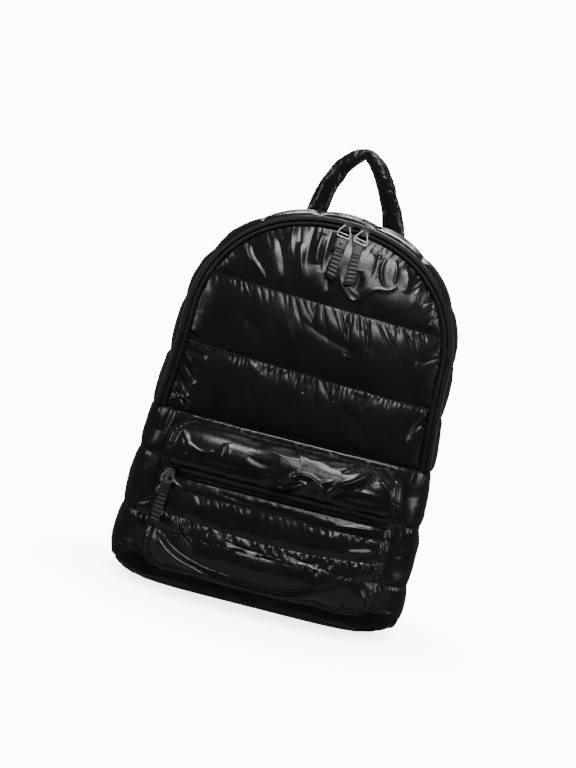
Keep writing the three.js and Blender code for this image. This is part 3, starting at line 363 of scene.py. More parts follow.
def twice_as_fine(values, triangles, sewn):
    """One step of Loop's subdivision of the points' values, with the outline and the seams kept in place"""
    triangles = np.asarray(triangles)
    across = np.concatenate([triangles[:, 2], triangles[:, 0], triangles[:, 1]])
    _, edges, which, uses = edges_of(triangles)
    opposite = np.zeros((len(edges), values.shape[1]))
    np.add.at(opposite, which, values[across])
    ends = values[edges[:, 0]] + values[edges[:, 1]]
    along_seam = sewn[edges].all(axis=1) | (uses == 1)
    halfway = np.where(along_seam[:, None], 0.5 * ends, 0.375 * ends + 0.125 * opposite)
    total = np.zeros_like(values)
    count = np.zeros(len(values))
    for one, other in ((0, 1), (1, 0)):
        np.add.at(total, edges[:, one], values[edges[:, other]])
        np.add.at(count, edges[:, one], 1)
    weight = np.where(count == 3, 3 / 16, 3 / (8 * np.maximum(count, 1)))[:, None]
    moved = values * (1 - count[:, None] * weight) + total * weight
    kept = sewn.copy()
    kept[np.unique(edges[uses == 1])] = True
    moved[kept] = values[kept]
    third = len(triangles)
    ab, bc, ca = (len(values) + which[k * third : (k + 1) * third] for k in range(3))
    a, b, c = triangles.T
    finer = np.vstack([np.column_stack(t) for t in ((a, ab, ca), (b, bc, ab), (c, ca, bc), (ab, bc, ca))])
    return np.vstack([moved, halfway]), finer, np.concatenate([sewn, along_seam])


def rounded_line(line):
    """A line with its corners cut twice, so that it bends smoothly"""
    line = np.asarray(line, float)
    for _ in range(2):
        near, far = 0.75 * line[:-1] + 0.25 * line[1:], 0.25 * line[:-1] + 0.75 * line[1:]
        cut = np.empty((2 * len(near), 2))
        cut[0::2], cut[1::2] = near, far
        line = np.vstack([line[:1], cut, line[-1:]])
    return line


def beside_line(flat, line):
    """For places on the cut: the distance from a line, the share along it, and which side they are on"""
    runs = runs_of(line)
    nearest = np.full(len(flat), np.inf)
    along, side = np.zeros(len(flat)), np.ones(len(flat))
    for k, (start, end) in enumerate(zip(line[:-1], line[1:])):
        step = end - start
        offset = flat - start
        t = np.clip(offset @ step / (step @ step), 0, 1)
        distance = np.hypot(*(offset - t[:, None] * step).T)
        closer = distance < nearest
        nearest[closer] = distance[closer]
        along[closer] = ((runs[k] + t * (runs[k + 1] - runs[k])) / runs[-1])[closer]
        side[closer] = np.sign(step[0] * offset[:, 1] - step[1] * offset[:, 0])[closer]
    return nearest, along, side, runs[-1]


def folded(flat, heights, folds):
    """Heights with folds added: each runs along a line, rises by so much, and is so wide on either side. A
    fourth number is the width on the line's right hand, where the fold falls away more slowly."""
    for line, rise, width, *skirt in folds:
        line = rounded_line(line)
        reach = 5 * max(width, *skirt) if skirt else 5 * width
        near = np.nonzero(((flat > line.min(0) - reach) & (flat < line.max(0) + reach)).all(axis=1))[0]
        distance, along, side, _ = beside_line(flat[near], line)
        taper = np.clip(4 * along * (1 - along), 0, 1) ** 0.6
        widths = np.where(side < 0, skirt[0], width) if skirt else width
        heights[near] += rise * taper * np.exp(-((distance / widths) ** 1.3))
    return heights


# how much the small folds and the creases differ from each other
FOLD_TURN, FOLD_BOW = 0.3, 0.15
FOLD_LENGTHS, FOLD_RISES, FOLD_WIDTHS = (0.5, 1.3), (0.5, 1.2), (0.7, 1.2)
CREASE_SLANT, CREASE_REACH = 0.16, 2.2
CREASE_LENGTHS, CREASE_WIDTHS, CREASE_DEPTHS, CREASE_STEPS = (0.4, 1.7), (0.14, 0.26), (0.5, 1), (0.55, 1.5)


def scattered(seed, count, low, high, length, slant, rise, width):
    """Small folds at chance places between two corners of the cut, each about as long and slanted as asked"""
    chance = np.random.default_rng(seed)
    folds = []
    for _ in range(count):
        middle = chance.uniform(low, high)
        angle = slant + chance.normal(0, FOLD_TURN)
        half = length / 2 * chance.uniform(*FOLD_LENGTHS) * np.array([math.cos(angle), math.sin(angle)])
        bow = FOLD_BOW * chance.normal() * half[::-1] * [-1, 1]
        line = np.array([middle - half, middle + bow, middle + half])
        height = rise * chance.choice([-1, 1]) * chance.uniform(*FOLD_RISES)
        folds.append((line, height, width * chance.uniform(*FOLD_WIDTHS)))
    return folds


def gathered(flat, heights, seam, side, spacing, lengths, depth, lean, seed):
    """Heights with creases that run out of a seam on one side, each of its own length. lengths has the
    usual length at even steps along the seam."""
    chance = np.random.default_rng(seed)
    reach = CREASE_REACH * max(lengths)
    low, high = seam.min(0) - reach, seam.max(0) + reach
    near = np.nonzero(((flat > low) & (flat < high)).all(axis=1))[0]
    distance, along, at_side, run = beside_line(flat[near], seam)
    beside = (distance < reach) & (at_side == side)
    near, distance, along = near[beside], distance[beside], along[beside] * run
    order = np.argsort(along)
    near, distance, along = near[order], distance[order], along[order]
    left = np.ones(len(near))
    place = chance.uniform(0, spacing)
    while place < run:
        usual = np.interp(place / run, np.linspace(0, 1, len(lengths)), lengths)
        length = usual * chance.uniform(*CREASE_LENGTHS)
        width = chance.uniform(*CREASE_WIDTHS) * spacing
        slant = lean + chance.normal(0, CREASE_SLANT)
        deep = depth * chance.uniform(*CREASE_DEPTHS)
        window = abs(slant) * reach + 4 * width
        first, last = np.searchsorted(along, [place - window, place + window])
        d, s = distance[first:last], along[first:last] - place
        aside = (s - slant * d) / (width * (1 + 0.5 * d / length))
        left[first:last] *= 1 - deep * np.exp(-np.abs(aside) ** 1.5) * np.exp(-((d / length) ** 2))
        place += spacing * chance.uniform(*CREASE_STEPS)
    heights[near] *= left
    return heights


def smooth_mesh(name, points, faces):
    mesh = bpy.data.meshes.new(name)
    mesh.from_pydata(np.asarray(points).tolist(), [], [tuple(int(corner) for corner in face) for face in faces])
    mesh.polygons.foreach_set("use_smooth", [True] * len(mesh.polygons))
    mesh.update()
    return mesh


def padded_mesh(name, outer, outer_triangles, inner, triangles):
    """A closed pad: the blown cloth outside, its backing inside, and a wall round the edge"""
    back = len(outer)
    faces = [*outer_triangles.tolist(), *[(c + back, b + back, a + back) for a, b, c in triangles]]
    rims = []
    for some in (outer_triangles, triangles):
        sides, _, which, uses = edges_of(np.asarray(some))
        rims.append({int(a): int(b) for a, b in sides[uses[which] == 1]})
    for a, b in rims[1].items():
        chain = [a]
        while chain[-1] != b:
            chain.append(rims[0][chain[-1]])
        half = len(chain) // 2
        faces += [(q, p, (a if k < half else b) + back) for k, (p, q) in enumerate(zip(chain[:-1], chain[1:]))]
        faces.append((chain[half], a + back, b + back))
    return smooth_mesh(name, np.vstack([outer, inner]), faces)


CLOTH_PITCH, PAD_THICKNESS, MOST_PUFF, PAD_FILL = 0.0034, 0.0025, 0.016, 0.6
# the cloth starts a little off its backing, farther in some places than in others
START_LIFT, LIFT_CHANGE, LIFT_WAVES, LIFT_WAVELENGTH = 0.0015, 0.001, 6, 0.05
PROBE = 0.001


def quilted_pad(name, node, outline, seams, place, growth, levels=1, gathers=(), folds=(), **choice):
    """A quilted pad over a backing. place gives the points at places on the cut, and at a height above it."""
    flat, triangles, sewn = cut_cloth(outline, seams, choice.get("pitch", CLOTH_PITCH), choice.get("seed", 1))
    backing = place(flat, 0)
    outward = unit(place(flat, PROBE) - backing)
    a, b, c = (backing[[t[k] for t in triangles]] for k in range(3))
    if (np.cross(b - a, c - a) * outward[[t[0] for t in triangles]]).sum() < 0:
        triangles = [tuple(reversed(t)) for t in triangles]
    held = sewn | choice["also_held"](flat) if "also_held" in choice else sewn
    chance = np.random.default_rng(choice.get("seed", 1))
    ways = chance.normal(0, 2 * np.pi / LIFT_WAVELENGTH, (LIFT_WAVES, 2))
    slack = np.cos(flat @ ways.T + chance.uniform(0, 2 * np.pi, LIFT_WAVES)).sum(axis=1) / LIFT_WAVES
    lift = np.where(held, 0, START_LIFT + LIFT_CHANGE * slack)
    start = backing + outward * lift[:, None]
    blown = sewn_cloth(name, start, triangles, held, growth)
    values, finer, fine_sewn = np.hstack([blown, flat]), np.array(triangles), sewn
    for _ in range(levels):
        values, finer, fine_sewn = twice_as_fine(values, finer, fine_sewn)
    points, fine_flat = values[:, :3], values[:, 3:]
    fine_backing = place(fine_flat, 0)
    fine_outward = unit(place(fine_flat, PROBE) - fine_backing)
    height = ((points - fine_backing) * fine_outward).sum(1)
    most = choice["limit"](fine_flat) if "limit" in choice else choice.get("most", MOST_PUFF)
    kept = most * np.tanh(np.clip(height, 0, None) / most)
    for seam, side, spacing, lengths, depth, lean, seed in gathers:
        kept = gathered(fine_flat, kept, np.asarray(seam), side, spacing, lengths, depth, lean, seed)
    kept = np.clip(folded(fine_flat, kept, folds), 0, None)
    points += fine_outward * (kept - height)[:, None]
    inner = place(flat, -choice.get("thickness", PAD_THICKNESS))
    return finished_pad(linked(name, padded_mesh(name, points, finer, inner, triangles)), node)


PATCH_RANGE = (0.3, 0.7)


def finish_of(name, colours, roughness, bumps, metallic=0, specular=0.5, patch=30):
    """A material whose colour and gloss drift over patches, with layers of relief. Each layer is a kind of
    pattern, how many times it comes in a metre along each axis, and its depth in metres."""
    material = bpy.data.materials.new(name)
    material.use_nodes = True
    tree = material.node_tree
    shader = tree.nodes["Principled BSDF"]
    shader.inputs["Metallic"].default_value = metallic
    shader.inputs["Specular IOR Level"].default_value = specular
    place = new_node(tree, "ShaderNodeTexCoord")
    patches = new_node(tree, "ShaderNodeTexNoise", Scale=patch, Detail=3)
    colour = new_node(tree, "ShaderNodeValToRGB")
    for element, at, value in zip(colour.color_ramp.elements, PATCH_RANGE, colours):
        element.position = at
        element.color = (*value, 1)
    (low, high), (smooth, rough) = PATCH_RANGE, roughness
    gloss = new_node(tree, "ShaderNodeMapRange", From_Min=low, From_Max=high, To_Min=smooth, To_Max=rough)
    wired(
        tree,
        (place, "Object", patches, "Vector"),
        (patches, "Fac", colour, "Fac"),
        (colour, "Color", shader, "Base Color"),
        (patches, "Fac", gloss, "Value"),
        (gloss, "Result", shader, "Roughness"),
    )
    below = None
    for kind, repeats, depth in bumps:
        mapping = new_node(tree, "ShaderNodeMapping", Scale=repeats)
        if kind == "weave":
            pattern = new_node(tree, "ShaderNodeTexWave", Scale=1, Distortion=0.6)
            pattern.bands_direction = "DIAGONAL"
        else:
            pattern = new_node(tree, "ShaderNodeTexNoise", Scale=1, Detail=2, Distortion=0.4)
            pattern.noise_type = "RIDGED_MULTIFRACTAL" if kind == "creases" else "FBM"
        relief = new_node(tree, "ShaderNodeBump", Distance=depth)
        wired(
            tree,
            (place, "Object", mapping, "Vector"),
            (mapping, "Vector", pattern, "Vector"),
            (pattern, "Fac", relief, "Height"),
        )
        if below:
            wired(tree, (below, "Normal", relief, "Normal"))
        below = relief
    wired(tree, (below, "Normal", shader, "Normal"))
    return material


nylon = finish_of(
    "coated_nylon",
    [(0.009, 0.0088, 0.0088), (0.014, 0.0135, 0.0135)],
    (0.18, 0.25),
    [
        ("swells", (52, 30, 15), 0.0005),
        ("swells", (18, 30, 60), 0.0002),
        ("weave", (900, 900, 900), 0.000008),
    ],
)


def fitted(piece, slot, *nodes, fill=None):
    """Enters a piece in the frame, in place of the solids it dresses"""
    if nodes:
        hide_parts(*nodes)
    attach(piece, "root")
    return piece


def finished_pad(piece, node):
    piece.data.materials.append(nylon)
    return fitted(piece, "shell_nylon", node, fill=PAD_FILL)


def front_place(flat, height):
    points = front_base(flat[:, 0], flat[:, 1])
    points[:, 1] -= height
    return points


front_seams = [front_seam(share) for share in FRONT_SEAM_SHARES]
front_bottom = np.array([(-0.126, WAIST_HEIGHT + GAP), (0.126, WAIST_HEIGHT + GAP)])
front_gathers = [
    (front_seams[0], -1, 0.0048, [0.004, 0.004, 0.005, 0.007, 0.008, 0.007, 0.004, 0.005], 0.85, 0.1, 21),
    (front_seams[0], 1, 0.006, [0.006, 0.004, 0.003, 0.004, 0.004, 0.006, 0.007], 0.55, 0.3, 22),
    (front_seams[1], -1, 0.0062, [0.005, 0.006, 0.009, 0.015, 0.019, 0.017, 0.008, 0.005], 0.85, 0.45, 23),
    (front_seams[1], 1, 0.0055, [0.003, 0.004, 0.004, 0.004, 0.003, 0.004], 0.55, 0, 24),
    (front_bottom, 1, 0.0055, [0.006, 0.004, 0.003, 0.004, 0.004, 0.007], 0.6, -0.2, 25),
    (zip_line, 1, 0.0055, [0.005, 0.006, 0.007, 0.009, 0.009, 0.011, 0.011, 0.008, 0.007, 0.007, 0.005], 0.6, 0, 26),
]

def millimetres(*points):
    return np.array(points) / 1000


# each fold is a line across and up the panel in millimetres, how much it stands up or sinks in, and its width
# on either side
FRONT_FOLDS = [
    (((-90, 361), (-84, 347), (-74, 340), (-65, 329)), 0.0022, 0.0016),
    (((6, 350), (12, 340), (23, 330), (32, 334), (38, 344), (46, 348), (56, 348), (64, 354)), 0.0017, 0.0016),
    (((46, 380), (44, 366), (48, 354), (56, 350)), 0.0013, 0.0014),
    (((30, 384), (38, 378), (46, 380)), -0.0012, 0.002),
    (((56, 380), (60, 370), (60, 356)), 0.0012, 0.0016),
    (((70, 374), (74, 362), (72, 350)), 0.0012, 0.003),
    (((88, 362), (84, 350), (86, 338)), 0.0012, 0.003),
    (((-40, 374), (-34, 352), (-27, 336)), 0.0024, 0.0045),
    (((-21, 388), (-22, 372), (-20, 356)), 0.002, 0.004),
    (((-62, 372), (-52, 352), (-48, 338)), -0.0022, 0.0045),
    (((-4, 372), (-8, 352), (-2, 334)), -0.0022, 0.005),
    (((24, 360), (26, 348), (22, 340)), -0.0015, 0.005),
    (((-52, 392), (-50, 372), (-42, 350)), 0.0012, 0.003),
    (((-31, 394), (-31, 374), (-30, 352)), -0.0014, 0.0032),
    (((-12, 394), (-14, 374), (-12, 350)), -0.0014, 0.0034),
    (((-3, 392), (-4, 376), (0, 358)), 0.0012, 0.003),
    (((38, 386), (40, 372), (38, 356)), -0.0012, 0.003),
    (((92, 372), (96, 356), (92, 338)), -0.0014, 0.0034),
    (((104, 350), (108, 336), (106, 322)), 0.0012, 0.003),
    (((-130, 262), (-118, 256), (-106, 252)), -0.003, 0.0022),
    (((-131, 250), (-116, 243), (-102, 240)), -0.0032, 0.0026),
    (((-132, 240), (-118, 226), (-108, 212)), -0.0032, 0.003),
    (((-133, 222), (-120, 212), (-112, 198)), -0.003, 0.0026),
    (((-130, 190), (-118, 198), (-104, 189)), 0.0022, 0.0018),
    (((-126, 201), (-114, 192), (-110, 185)), -0.003, 0.002),
    (((126, 300), (112, 290), (100, 286)), -0.0024, 0.003),
    (((130, 236), (118, 226), (112, 208)), -0.0026, 0.003),
    (((-20, 300), (10, 288), (44, 280)), -0.0016, 0.007),
    (((-90, 300), (-66, 284), (-48, 262)), -0.0016, 0.008),
    (((40, 226), (62, 212), (76, 194)), -0.0018, 0.006),
    (((-60, 228), (-44, 212), (-40, 196)), -0.0014, 0.008),
]
front_folds = [(millimetres(*points), *sizes) for points, *sizes in FRONT_FOLDS]
front_folds += scattered(61, 26, (-0.11, 0.19), (0.11, 0.31), 0.03, -0.9, 0.0005, 0.003)

# black polyester thread, its dark colour raised to a lighter grey: a painted glint standing for the light caught
# along the stitches
thread_painted_glint = finish_of(
    "polyester_thread_painted_glint",
    [(0.05, 0.05, 0.049), (0.09, 0.088, 0.086)],
    (0.26, 0.4),
    [("weave", (2500, 2500, 2500), 0.00004)],
)

set_along = bpy.data.node_groups.new("set_along_rows", "GeometryNodeTree")
set_along.is_modifier = True
set_sockets = {
    name: set_along.interface.new_socket(name, in_out="INPUT", socket_type=f"NodeSocket{kind}").identifier
    for name, kind in (("Geometry", "Geometry"), ("Pitch", "Float"), ("Size", "Vector"), ("Material", "Material"))
}
set_along.interface.new_socket("Geometry", in_out="OUTPUT", socket_type="NodeSocketGeometry")
rows_in = new_node(set_along, "NodeGroupInput")
row_curve = new_node(set_along, "GeometryNodeMeshToCurve")
row_steps = new_node(set_along, "GeometryNodeResampleCurve")
row_steps.mode = "LENGTH"
row_outward = new_node(set_along, "GeometryNodeInputNamedAttribute", Name="outward")
row_outward.data_type = "FLOAT_VECTOR"
turn_along = new_node(set_along, "FunctionNodeAlignRotationToVector")
turn_along.axis = "X"
turn_out = new_node(set_along, "FunctionNodeAlignRotationToVector")
turn_out.axis, turn_out.pivot_axis = "Z", "X"
one_bead = new_node(set_along, "GeometryNodeMeshUVSphere", Segments=6, Rings=4, Radius=0.5)
sized_bead = new_node(set_along, "GeometryNodeTransform")
placed_beads = new_node(set_along, "GeometryNodeInstanceOnPoints")
real_beads = new_node(set_along, "GeometryNodeRealizeInstances")
painted_beads = new_node(set_along, "GeometryNodeSetMaterial")
wired(
    set_along,
    (rows_in, "Geometry", row_curve, "Mesh"),
    (row_curve, "Curve", row_steps, "Curve"),
    (rows_in, "Pitch", row_steps, "Length"),
    (new_node(set_along, "GeometryNodeInputTangent"), "Tangent", turn_along, "Vector"),
    (turn_along, "Rotation", turn_out, "Rotation"),
    (row_outward, "Attribute", turn_out, "Vector"),
    (one_bead, "Mesh", sized_bead, "Geometry"),
    (rows_in, "Size", sized_bead, "Scale"),
    (row_steps, "Curve", placed_beads, "Points"),
    (sized_bead, "Geometry", placed_beads, "Instance"),
    (turn_out, "Rotation", placed_beads, "Rotation"),
    (placed_beads, "Instances", real_beads, "Geometry"),
    (real_beads, "Geometry", painted_beads, "Geometry"),
    (rows_in, "Material", painted_beads, "Material"),
    (painted_beads, "Geometry", new_node(set_along, "NodeGroupOutput"), "Geometry"),
)


def repeated(name, rows, pitch, size, material, slot, *nodes):
    """A small rounded form set again and again along rows. Each row is its points and the ways out of the
    surface there."""
    points = np.vstack([row for row, _ in rows])
    outward = np.vstack([out for _, out in rows])
    starts = np.cumsum([0] + [len(row) for row, _ in rows])
    edges = [(k, k + 1) for start, end in zip(starts[:-1], starts[1:]) for k in range(start, end - 1)]
    mesh = bpy.data.meshes.new(f"{name}_rows")
    mesh.from_pydata(points.tolist(), edges, [])
    arrows = mesh.attributes.new("outward", "FLOAT_VECTOR", "POINT")
    arrows.data.foreach_set("vector", outward.astype(np.float32).ravel())
    guide = linked(f"{name}_rows", mesh)
    modifier = guide.modifiers.new("rows", "NODES")
    modifier.node_group = set_along
    for socket, value in (("Pitch", pitch), ("Size", size), ("Material", material)):
        modifier[set_sockets[socket]] = value
    made = bpy.data.meshes.new_from_object(guide.evaluated_get(bpy.context.evaluated_depsgraph_get()))
    bpy.data.objects.remove(guide)
    made.name = name
    return fitted(linked(name, made), slot, *nodes)


def seam_rows(place, lines, lift=0.0004):
    """Rows for stitches along lines on the cut"""
    rows = []
    for line in lines:
        line = np.asarray(line, float)
        above = place(line, lift)
        rows.append((above, unit(above - place(line, 0))))
    return rows


STITCH_PITCH = 0.0034
STITCH = (0.0022, 0.0008, 0.0007)
ZIP_CLEARANCE, FRONT_STITCH_LIFT = 0.0004, 0.0007


def stitched(name, rows):
    repeated(name, rows, STITCH_PITCH, STITCH, thread_painted_glint, "shell_nylon")


front_piece = quilted_pad(
    "front_quilting",
    "front_panel",
    front_outline,
    front_seams,
    front_place,
    (1.025, 1, 1.07),
    levels=2,
    gathers=front_gathers,
    folds=front_folds,
    also_held=lambda flat: inset_from_zip(flat[:, 0], flat[:, 1]) < ZIP_HALF_WIDTH + ZIP_CLEARANCE,
)
stitched("front_stitches", seam_rows(front_place, [*front_seams, front_bottom], FRONT_STITCH_LIFT))

# Band: the gusset from the zip back to the back panel, over the crown and down both sides, quilted across
# in eleven channels and sewn to the zip tape in front.
BAND_CHANNELS = 11
BAND_BULGE = 0.005
BAND_SIDE = 0.006
CROWN_SHIFT = 0.006


def band_place(flat, height):
    """Places by run along the zip and by depth behind it"""
    run, depth = flat[:, 0], np.clip(flat[:, 1] / BAG_DEPTH, 0, 1)
    x, z = (np.interp(run, zip_run, zip_line[:, k]) for k in range(2))
    out_x, out_z = (-np.interp(run, zip_run, zip_inward[:, k]) for k in range(2))
    side = BAND_SIDE + BAND_BULGE * np.sin(np.pi * depth) ** 0.7 + height
    shift = CROWN_SHIFT * depth * rise_of(z) ** 2
    front = front_edge(z) + GAP
    y = front + (BAG_DEPTH / 2 - front) * depth
    points = np.column_stack([x + out_x * side + shift, y, z + out_z * side])
    points[:, 2] = np.maximum(points[:, 2], WAIST_HEIGHT + GAP)
    return points + BAG_SHIFT


def rectangle(width, height, across=60, up=24):
    """The outline of a rectangle, with points along its sides"""
    bottom = [(width * i / across, 0) for i in range(across)]
    right = [(width, height * i / up) for i in range(up)]
    top = [(width - x, height) for x, y in bottom]
    left = [(0, height - y) for x, y in right]
    return np.array([*bottom, *right, *top, *left])


band_seams = [
    np.array([(zip_run[-1] * k / BAND_CHANNELS, v) for v in np.linspace(0, BAG_DEPTH, 30)])
    for k in range(1, BAND_CHANNELS)
]
band_gathers = [
    (seam, side, 0.006, [0.012, 0.014, 0.012], 0.7, 0.1, 40 + 2 * k + (side > 0))
    for k, seam in enumerate(band_seams)
    for side in (-1, 1)
]
band_folds = scattered(62, 90, (0, 0.01), (zip_run[-1], BAG_DEPTH - 0.01), 0.022, 0.3, 0.0008, 0.002)
quilted_pad(
    "band_quilting",
    "band",
    rectangle(zip_run[-1], BAG_DEPTH),
    band_seams,
    band_place,
    (1.05, 1.02, 1.05),
    gathers=band_gathers,
    folds=band_folds,
    pitch=0.0032,
    seed=7,
    most=0.0055,
)
stitched("band_stitches", seam_rows(band_place, band_seams))

# Main zip: two lips of folded tape that meet over a spiral coil, sewn to the front panel and to the band.
ZIP_LIP_HEIGHT = 0.0026
COIL_HALF_WIDTH = 0.0027
COIL_DEPTH = 0.0022
COIL_PITCH, COIL_TURN = 0.0014, 0.0009
ZIP_STEPS = 420
LIP_SECTION = [
    (0.07, -0.0001), (0.02, 0.5), (0.06, 0.8), (0.2, 0.98), (0.45, 1),
    (0.72, 0.92), (0.9, 0.62), (1, 0.3), (1, -0.0001),
]

tape = finish_of(
    "woven_tape",
    [(0.006, 0.006, 0.0064), (0.009, 0.009, 0.0095)],
    (0.42, 0.55),
    [("weave", (1100, 1100, 1100), 0.00005), ("swells", (60, 60, 60), 0.0004)],
    specular=0.3,
)


def outward_faces(points, triangles):
    """The same triangles, turned so that the closed shape they make has its inside inside"""
    corners = points[np.array(triangles)] - points[0]
    volume = np.einsum("ij,ij->i", corners[:, 0], np.cross(corners[:, 1], corners[:, 2])).sum()
    return triangles if volume > 0 else [tuple(reversed(t)) for t in triangles]


def swept(rings, closed=False):
    """Points and triangles of a form through rings. It has a fan over each end, or closes on itself."""
    around, points = rings.shape[1], rings.reshape(-1, 3)
    triangles = []
    for j in range(len(rings) if closed else len(rings) - 1):
        for i in range(around):
            a, b = j * around + i, j * around + (i + 1) % around
            c, d = (a + around) % len(points), (b + around) % len(points)
            triangles += [(a, b, d), (a, d, c)]
    if not closed:
        last, first_end, last_end = (len(rings) - 1) * around, len(points), len(points) + 1
        points = np.vstack([points, rings[0].mean(0), rings[-1].mean(0)])
        for i in range(around):
            on = (i + 1) % around
            triangles += [(on, i, first_end), (last + i, last + on, last_end)]
    return points, outward_faces(points, triangles)


def made_piece(name, points, triangles, material, slot, *nodes):
    mesh = smooth_mesh(name, points, triangles)
    mesh.materials.append(material)
    return fitted(linked(name, mesh), slot, *nodes)


zip_steps = np.linspace(0, zip_run[-1], ZIP_STEPS)


def along_zip(section):
    """Rings along the zip through a section's points, which are out of the arch and forward"""
    x, z = at_runs(zip_steps, zip_run, zip_line).T
    out = unit(-at_runs(zip_steps, zip_run, zip_inward))
    out[[0, -1]] = [(1, 0), (-1, 0)]
    lines = [np.column_stack([x + out[:, 0] * a, front_edge(z) - f, z + out[:, 1] * a]) for a, f in section]
    return np.array(lines).transpose(1, 0, 2) + BAG_SHIFT


for side, node in ((1, "zip_lip_outer"), (-1, "zip_lip_inner")):
    lip_section = [(side * across * ZIP_HALF_WIDTH, forward * ZIP_LIP_HEIGHT) for across, forward in LIP_SECTION]
    made_piece(f"{node}_tape", *swept(along_zip(lip_section)), tape, "zip_tape", node)
coil_centre = along_zip([(0, -GAP - COIL_DEPTH / 2)])[:, 0]
coil_outward = np.tile([0.0, -1.0, 0.0], (len(coil_centre), 1))
coil_size = (COIL_TURN, 2 * COIL_HALF_WIDTH, COIL_DEPTH)
repeated("zip_coil_spiral", [(coil_centre, coil_outward)], COIL_PITCH, coil_size, tape, "zip_tape", "zip_coil")
# the coil is sewn on a strip of tape, which closes the zip behind it
TAPE_HALF_WIDTH, TAPE_THICKNESS = 0.0026, 0.0005
tape_face = -GAP - COIL_DEPTH - 0.0001
tape_section = [(-1, 0), (1, 0), (1, -TAPE_THICKNESS), (-1, -TAPE_THICKNESS)]
tape_rings = along_zip([(side * TAPE_HALF_WIDTH, tape_face + behind) for side, behind in tape_section])
made_piece("zip_coil_tape", *swept(tape_rings), tape, "zip_tape")

# Lower body: one cloth from back edge to back edge round the front, in three channels, rolled under at the
# bottom where it meets the piped base.
BASE_THICKNESS = 0.004
BASE_ROUNDING = 0.03
SIDE_HALF_WIDTH = 0.145
BASE_FLARE = 0.01
PLAN_POWER_BASE, PLAN_POWER_WAIST = 4, 6
LOWER_SEAM_SHARES = [0.35, 0.7]
LOWER_SEAM_SLOPE, SEAM_TURN = 0.042, 0.16
BASE_SEAM_RUN = 0.012
LOWER_BOTTOM = BASE_THICKNESS + GAP
LOWER_TOP = WAIST_HEIGHT - GAP
FRONT_HALF_DEPTH = BAG_DEPTH / 2 + FRONT_DOME
ROUNDING_RUN = BASE_ROUNDING * math.pi / 2


def run_to(height):
    """The run of cloth from the bottom edge up to a height"""
    above = np.asarray(height, float) - LOWER_BOTTOM - BASE_ROUNDING
    rounded = ROUNDING_RUN - BASE_ROUNDING * np.arcsin(np.clip(-above / BASE_ROUNDING, 0, 1))
    return np.where(above >= 0, ROUNDING_RUN + above, rounded)


lower_rows = float(run_to(LOWER_TOP))
lower_seam_runs = [float(run_to(LOWER_BOTTOM + share * (LOWER_TOP - LOWER_BOTTOM))) for share in LOWER_SEAM_SHARES]


def lower_section(run, off):
    """Height and inset of the cloth after a run, set off outwards"""
    angle = np.pi / 2 - np.minimum(run, ROUNDING_RUN) / BASE_ROUNDING
    rounded = LOWER_BOTTOM + BASE_ROUNDING - (BASE_ROUNDING + off) * np.sin(angle)
    height = np.where(run >= ROUNDING_RUN, LOWER_BOTTOM + BASE_ROUNDING + run - ROUNDING_RUN, rounded)
    inset = np.where(run >= ROUNDING_RUN, -off, BASE_ROUNDING - (BASE_ROUNDING + off) * np.cos(angle))
    return height, inset


def lower_plan(height, inset):
    """Half width, half depth in front and at the back, and squareness of the plan at a height"""
    drop = np.clip(1 - height / WAIST_HEIGHT, 0, 1)
    width = SIDE_HALF_WIDTH + BASE_FLARE * drop**0.8 - inset
    power = PLAN_POWER_BASE + (PLAN_POWER_WAIST - PLAN_POWER_BASE) * (1 - drop)
    return width, FRONT_HALF_DEPTH - inset, FRONT_HALF_DEPTH - np.minimum(inset, 0), power


def plan_point(plan, share, height):
    width, front, back, power = plan
    edge = BAG_DEPTH / 2
    back_width = width * (1 - (edge / back) ** power) ** (1 / power)
    reach = np.arctan2(edge, back_width)
    angle = np.pi + reach - share * (np.pi + 2 * reach)
    depth = np.where(np.sin(angle) > 0, front, back)
    radius = ((np.abs(np.cos(angle)) / width) ** power + (np.abs(np.sin(angle)) / depth) ** power) ** (-1 / power)
    return np.column_stack([radius * np.cos(angle), -radius * np.sin(angle), height + 0 * angle])


plan_shares = np.linspace(0, 1, 801)
plan_height = np.full(len(plan_shares), WAIST_HEIGHT / 2)
plan_run = runs_of(plan_point(lower_plan(plan_height, 0 * plan_height), plan_shares, plan_height))


def lower_place(flat, height):
    share = np.interp(flat[:, 0], plan_run, plan_shares)
    level, inset = lower_section(flat[:, 1], height)
    return plan_point(lower_plan(level, inset), share, level) + BAG_SHIFT


lower_length = plan_run[-1]
seam_steps = np.linspace(0, lower_length, 180)
seam_fall = LOWER_SEAM_SLOPE * np.clip(seam_steps - lower_length / 2, -SEAM_TURN, SEAM_TURN)
lower_seams = [np.column_stack([seam_steps, seam_run - seam_fall]) for seam_run in lower_seam_runs]
lower_seams.append(np.array([(u, BASE_SEAM_RUN) for u in seam_steps]))
lower_top = np.array([(0, lower_rows), (lower_length, lower_rows)])
lower_gathers = [
    (lower_seams[0], -1, 0.006, [0.012, 0.014, 0.01, 0.006, 0.01, 0.014, 0.012], 0.7, 0.2, 71),
    (lower_seams[0], 1, 0.006, [0.005, 0.006, 0.005], 0.5, 0, 72),
    (lower_seams[1], -1, 0.0062, [0.012, 0.016, 0.01, 0.006, 0.01, 0.016, 0.012], 0.7, 0.2, 73),
    (lower_seams[1], 1, 0.006, [0.005, 0.006, 0.005], 0.5, 0, 74),
    (lower_seams[2], 1, 0.005, [0.006, 0.007, 0.006], 0.5, 0, 75),
    (lower_top, -1, 0.0065, [0.012, 0.016, 0.012, 0.012, 0.016, 0.012], 0.7, -0.3, 76),
]
lower_folds = []
for seed, start, slant in ((63, 0.01, 0.9), (64, lower_length - 0.17, -0.9)):
    lower_folds += scattered(seed, 34, (start, 0.03), (start + 0.16, lower_rows), 0.034, slant, 0.0013, 0.0026)
lower_folds += scattered(65, 50, (0.1, 0.015), (lower_length - 0.1, 0.046), 0.05, 0.02, 0.0012, 0.0016)
